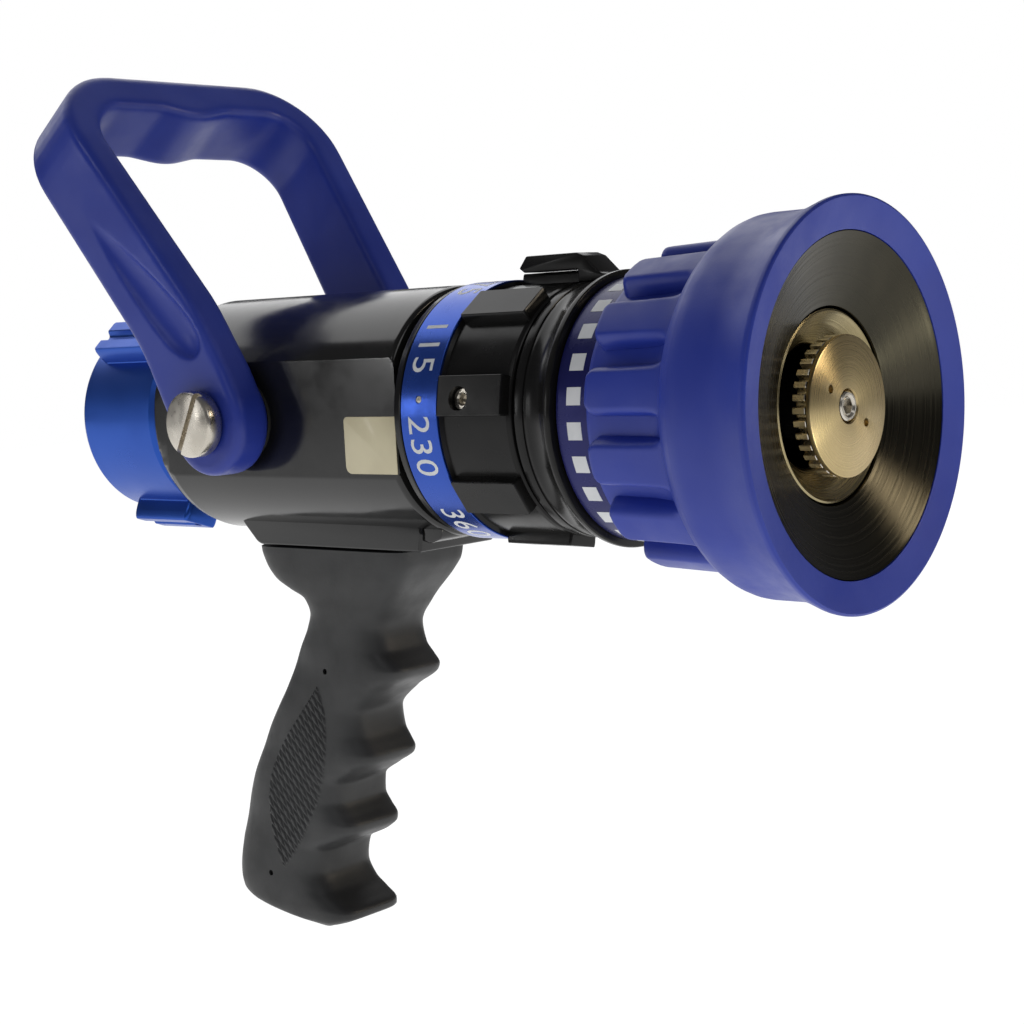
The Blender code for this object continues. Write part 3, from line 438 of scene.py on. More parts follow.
def dome(depth, edge):
    """Quarter-round rise from 0 at the edge of a pad to 1 at `edge` inside it."""
    t = np.clip(depth / edge, 0.0, 1.0)
    return np.sqrt(np.clip(1.0 - (1.0 - t) ** 2, 0.0, 1.0))


def pad_depth(x, s, x0, x1, half, corner):
    """Distance inside a rounded rectangle, x0..x1 along and +-half across."""
    cx = (x0 + x1) / 2
    dx = np.abs(x - cx) - ((x1 - x0) / 2 - corner)
    ds = np.abs(s) - (half - corner)
    outside = np.hypot(np.maximum(dx, 0.0), np.maximum(ds, 0.0))
    return corner - outside - np.minimum(np.maximum(dx, ds), 0.0)


def wrap(angle):
    return (angle + math.pi) % TURN - math.pi


def dense_angles(centres, half, fine, spread, rest):
    """Angles (radians) with close steps near the edges at centre +- half, and wide ones between."""
    marks = set()
    for k in range(int(round(TURN / rest))):
        marks.add(round(k * rest, 6))
    for centre in centres:
        for side in (-half, half):
            count = int(spread / fine)
            for k in range(-count, count + 1):
                marks.add(round((centre + side + k * fine) % TURN, 6))
    ordered = sorted(marks)
    kept = [ordered[0]]
    for value in ordered[1:]:
        if value - kept[-1] > fine * 0.45:
            kept.append(value)
    return np.array(kept)


def dense_line(marks, fine, spread, coarse):
    """Positions along x with close steps near the marks."""
    lo, hi = min(marks), max(marks)
    values = set(np.round(np.arange(lo, hi, coarse), 4))
    for mark in marks:
        for k in range(-int(spread / fine), int(spread / fine) + 1):
            value = round(mark + k * fine, 4)
            if lo <= value <= hi:
                values.add(value)
    values.update((lo, hi))
    ordered = sorted(values)
    kept = [ordered[0]]
    for value in ordered[1:]:
        if value - kept[-1] > fine * 0.45:
            kept.append(value)
    return np.array(kept)


def skin(name, xs, angles, radius, inner):
    """A ring whose outside is radius(x, angle); inner is its bore as (x, radius) points,
    listed from the far end of xs back to the near end."""
    rows = []
    for x in xs:
        r = radius(np.full_like(angles, x), angles)
        rows.append(np.stack([np.full_like(angles, x), -r * np.cos(angles),
                              r * np.sin(angles)], 1))
    for x, r in inner:
        rows.append(np.stack([np.full_like(angles, x), -r * np.cos(angles),
                              r * np.sin(angles)], 1))
    return grid_mesh(name, rows, True, True)


def about_x(phi):
    """Rotation that carries the near side to the angle phi (degrees)."""
    return Matrix.Rotation(-math.radians(phi), 4, "X")


def radial(x, phi):
    """Place of a local Z axis pointing outwards at (x, phi)."""
    return about_x(phi) @ Matrix.Translation((x, 0.0, 0.0)) @ Matrix.Rotation(math.pi / 2, 4, "X")


def smooth_keys(keys, z):
    """Monotone cubic through (z, value) keys listed from the top down."""
    zs = np.array([k[0] for k in keys])[::-1]
    vs = np.array([k[1] for k in keys])[::-1]
    h = np.diff(zs)
    slope = np.diff(vs) / h
    tangent = np.zeros_like(vs)
    for i in range(1, len(zs) - 1):
        if slope[i - 1] * slope[i] > 0.0:
            a = 2 * h[i] + h[i - 1]
            b = h[i] + 2 * h[i - 1]
            tangent[i] = (a + b) / (a / slope[i - 1] + b / slope[i])
    tangent[0] = slope[0]
    tangent[-1] = slope[-1]
    z = np.clip(z, zs[0], zs[-1])
    i = np.clip(np.searchsorted(zs, z) - 1, 0, len(h) - 1)
    t = (z - zs[i]) / h[i]
    return ((2 * t ** 3 - 3 * t ** 2 + 1) * vs[i] + (t ** 3 - 2 * t ** 2 + t) * h[i] * tangent[i]
            + (3 * t ** 2 - 2 * t ** 3) * vs[i + 1] + (t ** 3 - t ** 2) * h[i] * tangent[i + 1])


# ------------------------------------------------------------------ inlet coupling
COUPLING_LUGS = (-72.0, 48.0, 168.0)
COUPLING_REAR, COUPLING_FRONT = -81.3, -43.4
COUPLING_LUG_REAR, COUPLING_LUG_FRONT = -75.6, -46.6
COUPLING_LUG_HALF = 7.6
COUPLING_LUG_ARC = 38.0
COUPLING_LUG_TOP = 38.2
GROOVE_FRONT, GROOVE_HALF, GROOVE_DEPTH = -50.5, 2.1, 2.0
THREAD_TURNS, THREAD_PITCH = 6, 2.82
THREAD_ROOT, THREAD_CREST = 25.2, 23.9


def coupling_radius(x, phi):
    base = np.interp(x, [COUPLING_REAR, -80.9, -79.6, -46.0, -44.2, COUPLING_FRONT],
                     [30.6, 31.3, 32.0, 32.0, 31.2, 30.0])
    top = np.zeros_like(x)
    for angle in COUPLING_LUGS:
        s = wrap(phi - math.radians(angle)) * COUPLING_LUG_ARC
        rise = dome(pad_depth(x, s, COUPLING_LUG_REAR, COUPLING_LUG_FRONT,
                              COUPLING_LUG_HALF, 2.2), 1.6)
        groove = dome(pad_depth(x, s, -90.0, GROOVE_FRONT, GROOVE_HALF, 1.8), 1.5)
        flat = COUPLING_LUG_TOP / np.maximum(np.cos(s / COUPLING_LUG_ARC), 0.9)
        top = np.maximum(top, (flat - base - GROOVE_DEPTH * groove) * rise)
    return base + top


def build_coupling():
    xs = dense_line((COUPLING_REAR, -79.6, COUPLING_LUG_REAR, GROOVE_FRONT, COUPLING_LUG_FRONT,
                     COUPLING_FRONT), 0.22, 2.4, 2.5)
    centres = [math.radians(a) for a in COUPLING_LUGS]
    sides = dense_angles(centres, 0.2, 0.0075, 0.06, 0.045)
    grooves = dense_angles(centres, 0.055, 0.0085, 0.05, 0.045)
    angles = np.array(sorted(set(np.round(np.concatenate((sides, grooves)), 4))))
    bore = [(COUPLING_FRONT, 24.2), (-60.3, 24.2), (-60.3, THREAD_ROOT), (-62.0, THREAD_ROOT)]
    for k in range(THREAD_TURNS):
        x = -62.4 - k * THREAD_PITCH
        bore += [(x, THREAD_ROOT), (x - 1.1, THREAD_CREST), (x - 1.5, THREAD_CREST),
                 (x - 2.6, THREAD_ROOT)]
    bore += [(-80.4, 25.3), (COUPLING_REAR, 26.2)]
    mesh = skin("coupling_shell", xs, angles, coupling_radius, bore)
    port = lathe_about("port", [(20.0, 0.0), (20.0, 2.7), (45.0, 2.7), (45.0, 0.0)],
                       radial(-51.0, COUPLING_LUGS[0]), 40)
    mesh = combine("coupling_shell", mesh, [("DIFFERENCE", port)])
    piece("inlet_coupling_shell", mesh, BLUE_ANODISED, "inlet_swivel",
          ["coupling"], 28.0)


# ------------------------------------------------------------------ valve body
BODY_R = 37.6
BODY_FLAT = 33.2
BODY_FRONT = 68.0
BODY_REAR = -42.6
FLAT_SOFTNESS = 0.10


def body_radius(x, phi):
    base = np.interp(x, [BODY_REAR, -42.2, -41.2, -39.4, -36.6, -33.2, 66.6, 67.6, BODY_FRONT],
                     [29.4, 31.2, 33.2, 35.2, 36.9, BODY_R, BODY_R, 37.2, 36.4])
    flat = BODY_FLAT / np.maximum(np.abs(np.cos(phi)), 1e-3)
    lower = np.minimum(base, flat)
    blend = np.clip(FLAT_SOFTNESS - np.abs(base - flat), 0.0, None) ** 2 / (4.0 * FLAT_SOFTNESS)
    return lower - blend


def build_body():
    xs = dense_line((BODY_REAR, -33.2, 66.6, BODY_FRONT), 0.3, 2.4, 4.0)
    edge = math.acos(BODY_FLAT / BODY_R)
    angles = dense_angles([0.0, math.pi], edge, 0.006, 0.04, 0.035)
    bore = [(BODY_FRONT, 30.6), (48.0, 30.6), (48.0, 27.4), (-20.0, 27.4), (-20.0, 17.5),
            (-59.9, 17.5), (-59.9, 21.6), (BODY_REAR, 21.8)]
    shell = skin("body_shell", xs, angles, body_radius, bore)
    pivot = lathe_about("pivot", [(-40.0, 0.0), (-40.0, 8.6), (40.0, 8.6), (40.0, 0.0)],
                        Matrix.Rotation(math.pi / 2, 4, "X"), 64)
    shell = combine("body_shell", shell, [("DIFFERENCE", pivot)])
    outline = rounded([(-23.0, -29.6), (-20.6, -34.4), (-13.6, -41.3), (58.5, -41.3),
                       (59.4, -36.0), (58.6, -29.6)], [0, 7, 5, 0.8, 3, 0], 6)
    saddle = solid("saddle", outline, 33.2, 0.9, 4)
    wings = rounded([(52.0, -30.0), (52.0, -36.6), (61.5, -38.6), (66.6, -37.0), (67.0, -31.0)],
                    [0, 1, 2.4, 2.4, 0], 5)
    wing = solid("wing", wings, 31.0, 0.7, 3)
    mesh = merged("valve_body_shell", [shell, saddle, wing])
    piece("valve_body_shell", mesh, BODY_BLACK, "nozzle_body",
          ["valve_body"], 30.0)
    outline = rounded([(46.5, -16.2), (67.6, -16.2), (67.6, 0.6), (46.5, 0.6)],
                      [2.4, 0.3, 0.3, 1.4], 6)
    label = solid("label", outline, 0.3, 0.06, 2)
    label.transform(Matrix.Translation((0.0, -(BODY_FLAT + 0.2), 0.0)))
    piece("blank_label", label, LABEL, "nozzle_body", ["body_label"])


# ------------------------------------------------------------------ shut-off bail
BAIL_LEAN = Matrix.Rotation(-math.radians(35.8), 4, "Y")
BAIL_HALF = 47.6
BAIL_INNER_HALF = 34.7
BAIL_SPREAD = 0.102
BAIL_INNER_SPREAD = 10.5 / 95.0
BOSS_R = 16.4
SCREW_FACE = 54.3
SLOT_DEPTH = 2.3
HOLLOW_ROWS, HOLLOW_SIDES = 40, 28
HOLLOW_FULLEST = 0.82


def bail_front():
    """Outline from the front, upright: two arms that spread apart, and the bar that joins them."""
    foot = -17.4
    outer = [(-BAIL_HALF, foot), (-BAIL_HALF, 8.0), (-BAIL_HALF - BAIL_SPREAD * 118.0, 124.8)]
    inner = [(-BAIL_INNER_HALF - BAIL_INNER_SPREAD * 104.0, 111.0), (-BAIL_INNER_HALF, 8.0),
             (-BAIL_INNER_HALF, foot)]
    swell = [(14.0, 111.0), (0.0, 107.6), (-14.0, 111.0)]
    points = (outer + [(-y, u) for y, u in reversed(outer)]
              + [(-y, u) for y, u in reversed(inner)] + swell + inner)
    return rounded(points, [0, 30, 27, 27, 30, 0, 0, 24, 17, 16, 26, 16, 17, 24, 0], 12)


def bail_side():
    """Outline from the side, upright: a round boss below and a long arm above."""
    boss = []
    for k in range(37):
        angle = math.radians(180.0 + 5.0 * k)
        boss.append((BOSS_R * math.cos(angle), BOSS_R * math.sin(angle)))
    side = rounded([boss[-1], (21.0, 30.0), (19.6, 128.0), (-6.0, 128.0), (-7.2, 34.0), boss[0]],
                   [0, 60, 0, 0, 60, 0], 12)
    return boss[:-1] + side[:-1]


def teardrop(sign):
    """The long tapering hollow on the outer face of an arm."""
    rows = []
    for k in range(HOLLOW_ROWS + 1):
        t = k / HOLLOW_ROWS
        u = 84.0 - 68.0 * t
        width = 7.0 * math.sin(0.5 * math.pi * min(1.0, t / HOLLOW_FULLEST)) ** 1.15
        if t > HOLLOW_FULLEST:
            closing = (t - HOLLOW_FULLEST) / (1.0 - HOLLOW_FULLEST)
            width *= math.sqrt(max(0.0, 1.0 - closing ** 2))
        width = max(width, 0.02)
        middle = 4.0 + 8.2 * t
        face = BAIL_HALF + BAIL_SPREAD * max(u - 8.0, 0.0)
        depth = 0.55 * width
        row = []
        for j in range(HOLLOW_SIDES):
            angle = TURN * j / HOLLOW_SIDES
            row.append((middle + width * math.cos(angle),
                        sign * (face + 0.8 + depth * math.sin(angle)), u))
        rows.append(row)
    return grid_mesh("teardrop", rows, True, False, True)


def build_bail():
    front = solid("bail_front", bail_front(), 60.0, 0.0)
    front.transform(Matrix.Rotation(math.pi / 2, 4, "Z"))
    side = solid("bail_side", bail_side(), 140.0, 0.0)
    mesh = combine("bail_block", front, [("INTERSECT", side)])
    mesh = bevelled("bail_block", mesh, 2.8, 4)
    hole = lathe_about("hole", [(-70.0, 0.0), (-70.0, 6.5), (70.0, 6.5), (70.0, 0.0)],
                       Matrix.Rotation(math.pi / 2, 4, "X"), 64)
    mesh = combine("bail_block", mesh, [("DIFFERENCE", teardrop(-1)), ("DIFFERENCE", teardrop(1))])
    mesh = moulded("bail_block", mesh, 0.7, 7)
    mesh = combine("bail_shell", mesh, [("DIFFERENCE", hole)])
    mesh.transform(BAIL_LEAN)
    piece("bail_handle", mesh, BLUE_PLASTIC, "shutoff", ["bail"], 55.0)
    for sign, side_name in ((-1, "near"), (1, "far")):
        profile = [(SCREW_FACE, 0.0), (SCREW_FACE, 9.2), (54.15, 9.6), (53.8, 9.9), (53.3, 10.1),
                   (49.6, 10.1), (48.8, 9.8), (48.0, 9.0), (47.9, 8.6), (47.9, 3.2),
                   (32.0, 3.2), (32.0, 0.0)]
        place = Matrix.Rotation(math.pi / 2 * -sign, 4, "X")
        head = lathe_about("screw", profile, place, 96)
        slot = solid("slot", [(-15.0, -0.95), (15.0, -0.95), (15.0, 0.95), (-15.0, 0.95)], 6.0, 0)
        slot.transform(Matrix.Translation((0.0, sign * (SCREW_FACE - SLOT_DEPTH + 3.0), 0.0))
                       @ Matrix.Rotation(math.radians(-62.0), 4, "Y"))
        head = combine("screw", head, [("DIFFERENCE", slot)])
        piece("pivot_screw_" + side_name, head, SCREW_STEEL, "shutoff",
              ["bail_screw_" + side_name], 25.0)


# ------------------------------------------------------------------ flow selector
LUG_ANGLES = [math.radians(9.6 + 45.0 * i) for i in range(8)]
LUG_HALF = 5.9
LUG_ARC = 38.5
LUG_TOP = 39.2
BAND_R = 38.0
PIN_X = 81.4
LUG_SCREW_X = 97.4
SCREWS_PHI = 8.4
FLOWS = ("115", "230", "360", "475")
DIGIT_SIZE = 11.6
DIGIT_X = 77.4
DIGIT_R = 37.99
FIRST_FLOW_PHI = 33.0
INK = 0.05


def ring_radius(x, phi):
    base = np.interp(x, [68.7, 71.4, 73.6, 74.15, 74.25, 74.5, 88.3, 88.6, 88.75, 89.4, 112.6,
                         113.6, 114.0],
                     [34.8, 37.4, 37.9, 37.9, 37.2, 36.9, 36.9, 37.0, 37.7, 36.4, 36.3, 36.0,
                      35.4])
    top = np.zeros_like(x)
    for centre in LUG_ANGLES:
        turn = wrap(phi - centre)
        rise = dome(pad_depth(x, turn * LUG_ARC, 89.2, 113.4, LUG_HALF, 0.8), 0.55)
        flat = LUG_TOP / np.maximum(np.cos(turn), 0.9)
        top = np.maximum(top, (flat - base) * rise)
    return base + top


def build_selector():
    xs = dense_line((68.7, 71.4, 74.2, 88.6, 89.4, 113.4, 114.0), 0.14, 1.0, 2.0)
    angles = dense_angles(LUG_ANGLES, LUG_HALF / LUG_ARC, 0.0035, 0.024, 0.04)
    bore = [(114.0, 30.6), (68.7, 30.6)]
    mesh = skin("selector", xs, angles, ring_radius, bore)
    port = lathe_about("port", [(33.5, 0.0), (33.5, 3.4), (45.0, 3.4), (45.0, 0.0)],
                       radial(LUG_SCREW_X, SCREWS_PHI), 48)
    mesh = combine("selector", mesh, [("DIFFERENCE", port)])
    piece("selector_shell", mesh, RING_BLACK, "flow_selector",
          ["selector_ring"], 32.0)
    band = lathe("band", [(74.5, 36.95), (74.5, 37.8), (74.65, BAND_R), (88.15, BAND_R),
                          (88.3, 37.8), (88.3, 36.95)], 240)
    port = lathe_about("port", [(36.5, 0.0), (36.5, 1.15), (45.0, 1.15), (45.0, 0.0)],
                       radial(PIN_X, SCREWS_PHI), 32)
    band = combine("band", band, [("DIFFERENCE", port)])
    piece("flow_band", band, BAND_BLUE, "flow_selector", ["selector_band"])
    pin = lathe_about("pin", [(36.9, 0.0), (36.9, 0.95), (37.85, 0.95), (37.98, 0.8),
                              (37.98, 0.45), (37.5, 0.35), (37.4, 0.0)], radial(PIN_X, SCREWS_PHI), 32)
    piece("band_pin", pin, SCREW_STEEL, "flow_selector", ["band_screw"])
    screw = lathe_about("screw", [(33.8, 0.0), (33.8, 3.2), (36.9, 3.2), (37.3, 2.9),
                                  (37.3, 1.9), (36.8, 1.5), (35.2, 1.5), (35.0, 0.0)],
                        radial(LUG_SCREW_X, SCREWS_PHI), 48)
    piece("lug_screw", screw, SCREW_STEEL, "flow_selector", ["selector_lug_screw"])


def curved_number(text, phi, size, radius, x_base, thickness):
    """Digits bent round the band; they read downwards with their tops towards the outlet."""
    curve = bpy.data.curves.new("digits", "FONT")
    curve.body = text
    curve.size = size
    curve.align_x = "CENTER"
    curve.space_character = 1.08
    curve.resolution_u = 4
    temp = bpy.data.objects.new("digits", curve)
    bpy.context.scene.collection.objects.link(temp)
    graph = bpy.context.evaluated_depsgraph_get()
    mesh = bpy.data.meshes.new_from_object(temp.evaluated_get(graph))
    bpy.data.objects.remove(temp, do_unlink=True)
    bm = bmesh.new()
    bm.from_mesh(mesh)
    bmesh.ops.remove_doubles(bm, verts=bm.verts, dist=1e-4)
    for _ in range(2):
        long_edges = [e for e in bm.edges if abs(e.verts[0].co.x - e.verts[1].co.x) > 0.8]
        bmesh.ops.subdivide_edges(bm, edges=long_edges, cuts=1)
        bmesh.ops.triangulate(bm, faces=bm.faces)
    spun = bmesh.ops.extrude_face_region(bm, geom=list(bm.faces))
    moved = [v for v in spun["geom"] if isinstance(v, bmesh.types.BMVert)]
    bmesh.ops.translate(bm, vec=(0.0, 0.0, thickness), verts=moved)
    bmesh.ops.recalc_face_normals(bm, faces=bm.faces)
    for vert in bm.verts:
        turn = math.radians(phi) - vert.co.x / radius
        vert.co = Vector(polar(x_base + vert.co.y, radius + vert.co.z, turn))
    bm.to_mesh(mesh)
    bm.free()
    mesh.materials.clear()
    return mesh


def build_numbers():
    digits = []
    for i, text in enumerate(FLOWS * 2):
        phi = FIRST_FLOW_PHI - i * 45.0
        digits.append(curved_number(text, phi, DIGIT_SIZE, DIGIT_R, DIGIT_X, INK))
    piece("flow_numbers", merged("flow_numbers", digits), WHITE_INK, "flow_selector")


# ------------------------------------------------------------------ front collar
def build_collar():
    profile = [(114.5, 30.5), (114.5, 35.0), (115.0, 35.8), (115.6, 36.3), (117.8, 36.45),
               (118.4, 36.35), (118.55, 36.0), (119.1, 36.0), (119.25, 36.35), (119.8, 36.45)]
    for k in range(13):
        t = k / 12.0
        profile.append((120.4 + 7.4 * t, 36.45 + 2.25 * t ** 2.1))
    profile += [(128.2, 38.82), (128.8, 38.9), (129.5, 38.85), (129.85, 38.6), (130.0, 38.2),
                (130.0, 35.7), (117.3, 35.6), (117.3, 30.5)]
    ring = lathe("collar", profile, 220)
    outline = rounded([(114.9, 36.0), (114.9, 39.7), (95.0, 39.7), (93.2, 41.0), (96.0, 44.4),
                       (114.4, 44.4), (117.2, 43.4), (122.6, 38.4), (128.2, 37.4),
                       (128.2, 36.4)],
                      [0, 0.5, 0.2, 0.3, 0.8, 1.2, 1.2, 3.0, 0.5, 0], 4)
    block = solid("block", outline, 10.4, 0.45, 3)
    piece("collar_shell", merged("collar_shell", [ring, block]), RING_BLACK, "nozzle_body",
          ["front_collar"], 30.0)


# ------------------------------------------------------------------ pattern sleeve and bumper
RIB_COUNT = 14
RIBS = [math.radians(9.8 + 360.0 / RIB_COUNT * i) for i in range(RIB_COUNT)]
RIB_HALF = 6.9
RIB_ARC = 43.0
SLEEVE_R = 36.9
MARK_COUNT = 25
MARK_HALF = 2.4
FIRST_MARK_PHI = 8.8


def bumper_base(x):
    return np.interp(x, [141.7, 142.3, 143.4, 160.0, 166.0, 168.0, 169.6, 171.2, 172.8, 174.6,
                         176.6, 179.0, 190.0, 192.6, 195.6, 198.4, 200.6, 201.6, 202.2, 202.4],
                     [37.6, 38.3, 38.6, 39.4, 40.4, 41.6, 43.6, 45.8, 47.6, 49.1, 50.2, 50.9,
                      51.0, 51.35, 52.1, 53.1, 53.9, 54.0, 53.8, 53.3])


def bumper_radius(x, phi):
    base = bumper_base(x)
    top = np.zeros_like(x)
    crest = np.interp(x, [141.7, 168.0, 176.0], [44.0, 45.0, 45.4])
    for centre in RIBS:
        s = wrap(phi - centre) * RIB_ARC
        rise = dome(pad_depth(x, s, 144.2, 184.0, RIB_HALF, 4.2), 2.7)
        top = np.maximum(top, np.maximum(crest - base, 0.0) * rise)
    return base + top


def build_pattern():
    xs = dense_line((141.7, 144.2, 147.0, 170.0, 175.0, 200.8, 202.4), 0.34, 2.4, 1.6)
    angles = dense_angles(RIBS, RIB_HALF / RIB_ARC, 0.008, 0.072, 0.05)
    inner = [(202.3, 52.8), (202.0, 51.8), (200.6, 45.6), (200.4, 45.0), (196.2, 45.0),
             (189.6, 36.6), (184.0, 34.4), (141.7, 34.4)]
    mesh = skin("bumper_shell", xs, angles, bumper_radius, inner)
    piece("bumper_rubber", mesh, BLUE_RUBBER, "pattern_control", ["bumper"], 40.0)

    profile = [(130.5, 35.2), (130.5, 36.5), (130.9, SLEEVE_R), (141.2, SLEEVE_R), (141.4, 36.7),
               (141.4, 34.4), (142.0, 34.0), (183.0, 34.0), (184.0, 33.0), (184.0, 30.6),
               (120.4, 30.6), (120.4, 35.2)]
    piece("pattern_sleeve_shell", lathe("sleeve", profile, 220), NAVY, "pattern_control",
          ["pattern_sleeve"])
    marks = []
    for i in range(MARK_COUNT):
        centre = math.radians(FIRST_MARK_PHI + 360.0 / MARK_COUNT * i)
        half = MARK_HALF / SLEEVE_R
        rows = []
        for x, lift in ((134.3, -0.03), (134.35, 0.05), (139.05, 0.05), (139.1, -0.03)):
            rows.append([polar(x, SLEEVE_R + lift, centre + half * (k / 6.0 - 1.0))
                         for k in range(13)])
        marks.append(grid_mesh("mark", rows, False, False))
    piece("pattern_marks", merged("pattern_marks", marks), WHITE_INK, "pattern_control")

    profile = [(200.2, 44.7), (200.1, 44.4)]
    for k in range(1, 24):
        t = k / 24.0
        profile.append((200.1 - 6.8 * t ** 0.92, 44.4 - 18.2 * t))
    profile += [(193.2, 26.0), (193.0, 25.9), (191.6, 25.9), (191.0, 31.0), (184.4, 31.0),
                (184.4, 33.4), (190.0, 33.4), (190.0, 36.0), (196.4, 44.7)]
    piece("cone_shell", lathe("cone", profile, 240), CONE_BLACK, "pattern_control",
          ["cone_liner"])


# ------------------------------------------------------------------ head, teeth and seat
HEAD_FACE = 198.0
TEETH = 34
SOCKET_R = 2.25


def build_head():
    seat = [(192.9, 24.7), (192.6, 25.2), (192.2, 25.3), (186.0, 25.3), (186.0, 26.3),
            (177.6, 26.3), (177.6, 21.0), (181.4, 16.8), (184.8, 16.2), (185.5, 16.35),
            (186.0, 16.8), (187.6, 18.6), (190.4, 21.9), (192.1, 24.0)]
    piece("seat_shell", lathe("seat", seat, 200), WARM, "nozzle_body",
          ["seat_ring"])
    profile = [(197.5, 4.4), (HEAD_FACE, 4.7), (HEAD_FACE, 18.1), (197.85, 18.4), (197.5, 18.5),
               (196.9, 18.5), (196.7, 18.3), (196.7, 12.2), (192.4, 12.2), (192.4, 12.9),
               (190.4, 12.9), (190.4, 5.4), (192.5, 5.4), (192.5, 3.0), (195.0, 3.0),
               (195.0, 4.4)]
    disc = lathe("disc", profile, 200)
    holes = []
    for turn in (30.0, 210.0):
        hole = lathe_about("hole", [(-1.6, 0.0), (-1.6, 1.15), (3.0, 1.15), (3.0, 0.0)],
                           Matrix.Translation(Vector((HEAD_FACE, -9.6 * math.cos(math.radians(turn)),
                                                      9.6 * math.sin(math.radians(turn)))))
                           @ Matrix.Rotation(math.pi / 2, 4, "Y"), 32)
        holes.append(("DIFFERENCE", hole))
    disc = combine("disc", disc, holes)
    piece("head_disc", disc, HEAD_STEEL, "baffle", ["baffle_head"])
    place = Matrix.Translation((HEAD_FACE, 0.0, 0.0)) @ Matrix.Rotation(math.pi / 2, 4, "Y")
    screw = lathe_about("screw", [(-0.3, 0.0), (-0.3, 2.3), (-0.5, 2.4), (-0.3, 2.6),
                                  (0.1, 3.0), (0.1, 3.5), (-0.3, 3.9), (-2.6, 3.9),
                                  (-2.6, 2.4), (-14.0, 2.4), (-14.6, 0.0)], place, 64)
    key = []
    for k in range(6):
        angle = TURN * k / 6
        key.append((SOCKET_R * math.cos(angle), SOCKET_R * math.sin(angle)))
    socket = solid("socket", key, 5.0, 0.0)
    socket.transform(Matrix.Translation((HEAD_FACE + 0.5, 0.0, 0.0)) @ Matrix.Rotation(math.pi / 2, 4, "Z"))
    screw = combine("screw", screw, [("DIFFERENCE", socket)])
    piece("head_socket_screw", screw, SCREW_STEEL, "baffle", ["head_screw"])

    rows = []
    for x, scale in ((192.6, -0.15), (192.75, 0.0), (196.15, 0.0), (196.3, -0.15)):
        row = []
        for i in range(TEETH):
            for part, radius in ((-0.42, 16.1), (-0.30, 16.9), (-0.25, 18.2), (-0.18, 18.4),
                                 (0.18, 18.4), (0.25, 18.2), (0.30, 16.9), (0.42, 16.1)):
                row.append(polar(x, radius + scale, TURN * (i + part) / TEETH))
        rows.append(row)
    for x in (196.3, 192.6):
        rows.append([polar(x, 13.0, TURN * (k + 0.5) / len(rows[0]) - TURN * 0.45 / TEETH)
                     for k in range(len(rows[0]))])
    piece("fog_teeth_ring", grid_mesh("teeth", rows, True, True), TEETH_STEEL, "fog_teeth",
          ["teeth_ring"], 24.0)


# ------------------------------------------------------------------ pistol grip
# (z, x) keys of the rear and front edges, and (z, half width) keys, from the top down
GRIP_REAR = ((-42.0, -17.0), (-47.0, -16.3), (-52.5, -13.4), (-56.0, -7.6), (-58.7, -1.9),
             (-63.0, -0.3), (-68.3, -2.1), (-75.2, -6.4), (-89.3, -14.2), (-103.8, -24.0),
             (-122.2, -33.2), (-140.6, -38.8), (-155.0, -41.6), (-158.6, -41.0), (-161.2, -37.6),
             (-163.0, -30.6), (-164.4, -20.0), (-165.4, -10.0), (-166.3, 0.0))
GRIP_FRONT = ((-42.0, 49.8), (-46.0, 49.2), (-50.0, 46.6), (-60.0, 37.7), (-67.5, 33.3),
              (-74.0, 34.9), (-77.6, 38.2), (-80.4, 40.4), (-82.0, 39.8), (-88.0, 30.2),
              (-95.6, 22.3), (-102.0, 23.2), (-106.0, 25.7), (-108.6, 27.2), (-110.0, 26.8),
              (-114.0, 20.3), (-119.4, 12.3), (-125.0, 11.8), (-129.0, 14.3), (-132.4, 16.9),
              (-134.0, 16.6), (-136.6, 13.4), (-142.0, 2.9), (-149.0, 1.3), (-155.0, 4.7),
              (-158.4, 9.8), (-161.4, 13.8), (-163.0, 13.6), (-164.6, 10.6), (-165.6, 7.6),
              (-166.3, 4.0))
GRIP_HALF = ((-42.0, 16.0), (-50.0, 15.6), (-60.0, 14.2), (-68.0, 13.6), (-90.0, 13.8),
             (-120.0, 14.6), (-150.0, 15.2), (-160.0, 15.2), (-164.4, 14.4), (-166.3, 12.0))
GRIP_LAST_KEY, GRIP_BASE = -166.3, -166.6
GRIP_SIDES = 88
SECTION_FRONT = (0.50, 0.42)
SECTION_REAR = (0.64, 0.60)
SECTION_SQUARE = 0.26
DIMPLES = ((10.7, -81.6), (-19.4, -151.1))
PANEL_TIP = (6.3, -86.0)
PANEL_END = (-13.0, -148.5)
PANEL_ROWS, PANEL_COLUMNS = 230, 96


def grip_section(z, count):
    """One level of the grip: a superellipse that squares up towards the top."""
    rear = smooth_keys(GRIP_REAR, z)
    front = smooth_keys(GRIP_FRONT, z)
    half = smooth_keys(GRIP_HALF, z)
    square = float(np.clip((z + 64.0) / 20.0, 0.0, 1.0))
    mid = (rear + front) / 2
    reach = (front - rear) / 2
    row = []
    for k in range(count):
        angle = TURN * k / count
        c, s = math.cos(angle), math.sin(angle)
        p, q = (blunt * (1.0 - square) + SECTION_SQUARE * square
                for blunt in (SECTION_FRONT if c > 0 else SECTION_REAR))
        row.append((mid + reach * math.copysign(abs(c) ** p, c),
                    half * math.copysign(abs(s) ** q, s), z))
    return row


def grip_side(x, z):
    """Half width of the grip at (x, z)."""
    rear = float(smooth_keys(GRIP_REAR, z))
    front = float(smooth_keys(GRIP_FRONT, z))
    half = float(smooth_keys(GRIP_HALF, z))
    c = np.clip((x - (rear + front) / 2) / ((front - rear) / 2), -0.98, 0.98)
    p, q = SECTION_FRONT if c > 0 else SECTION_REAR
    angle = math.acos(abs(c) ** (1.0 / p))
    return half * math.sin(angle) ** q


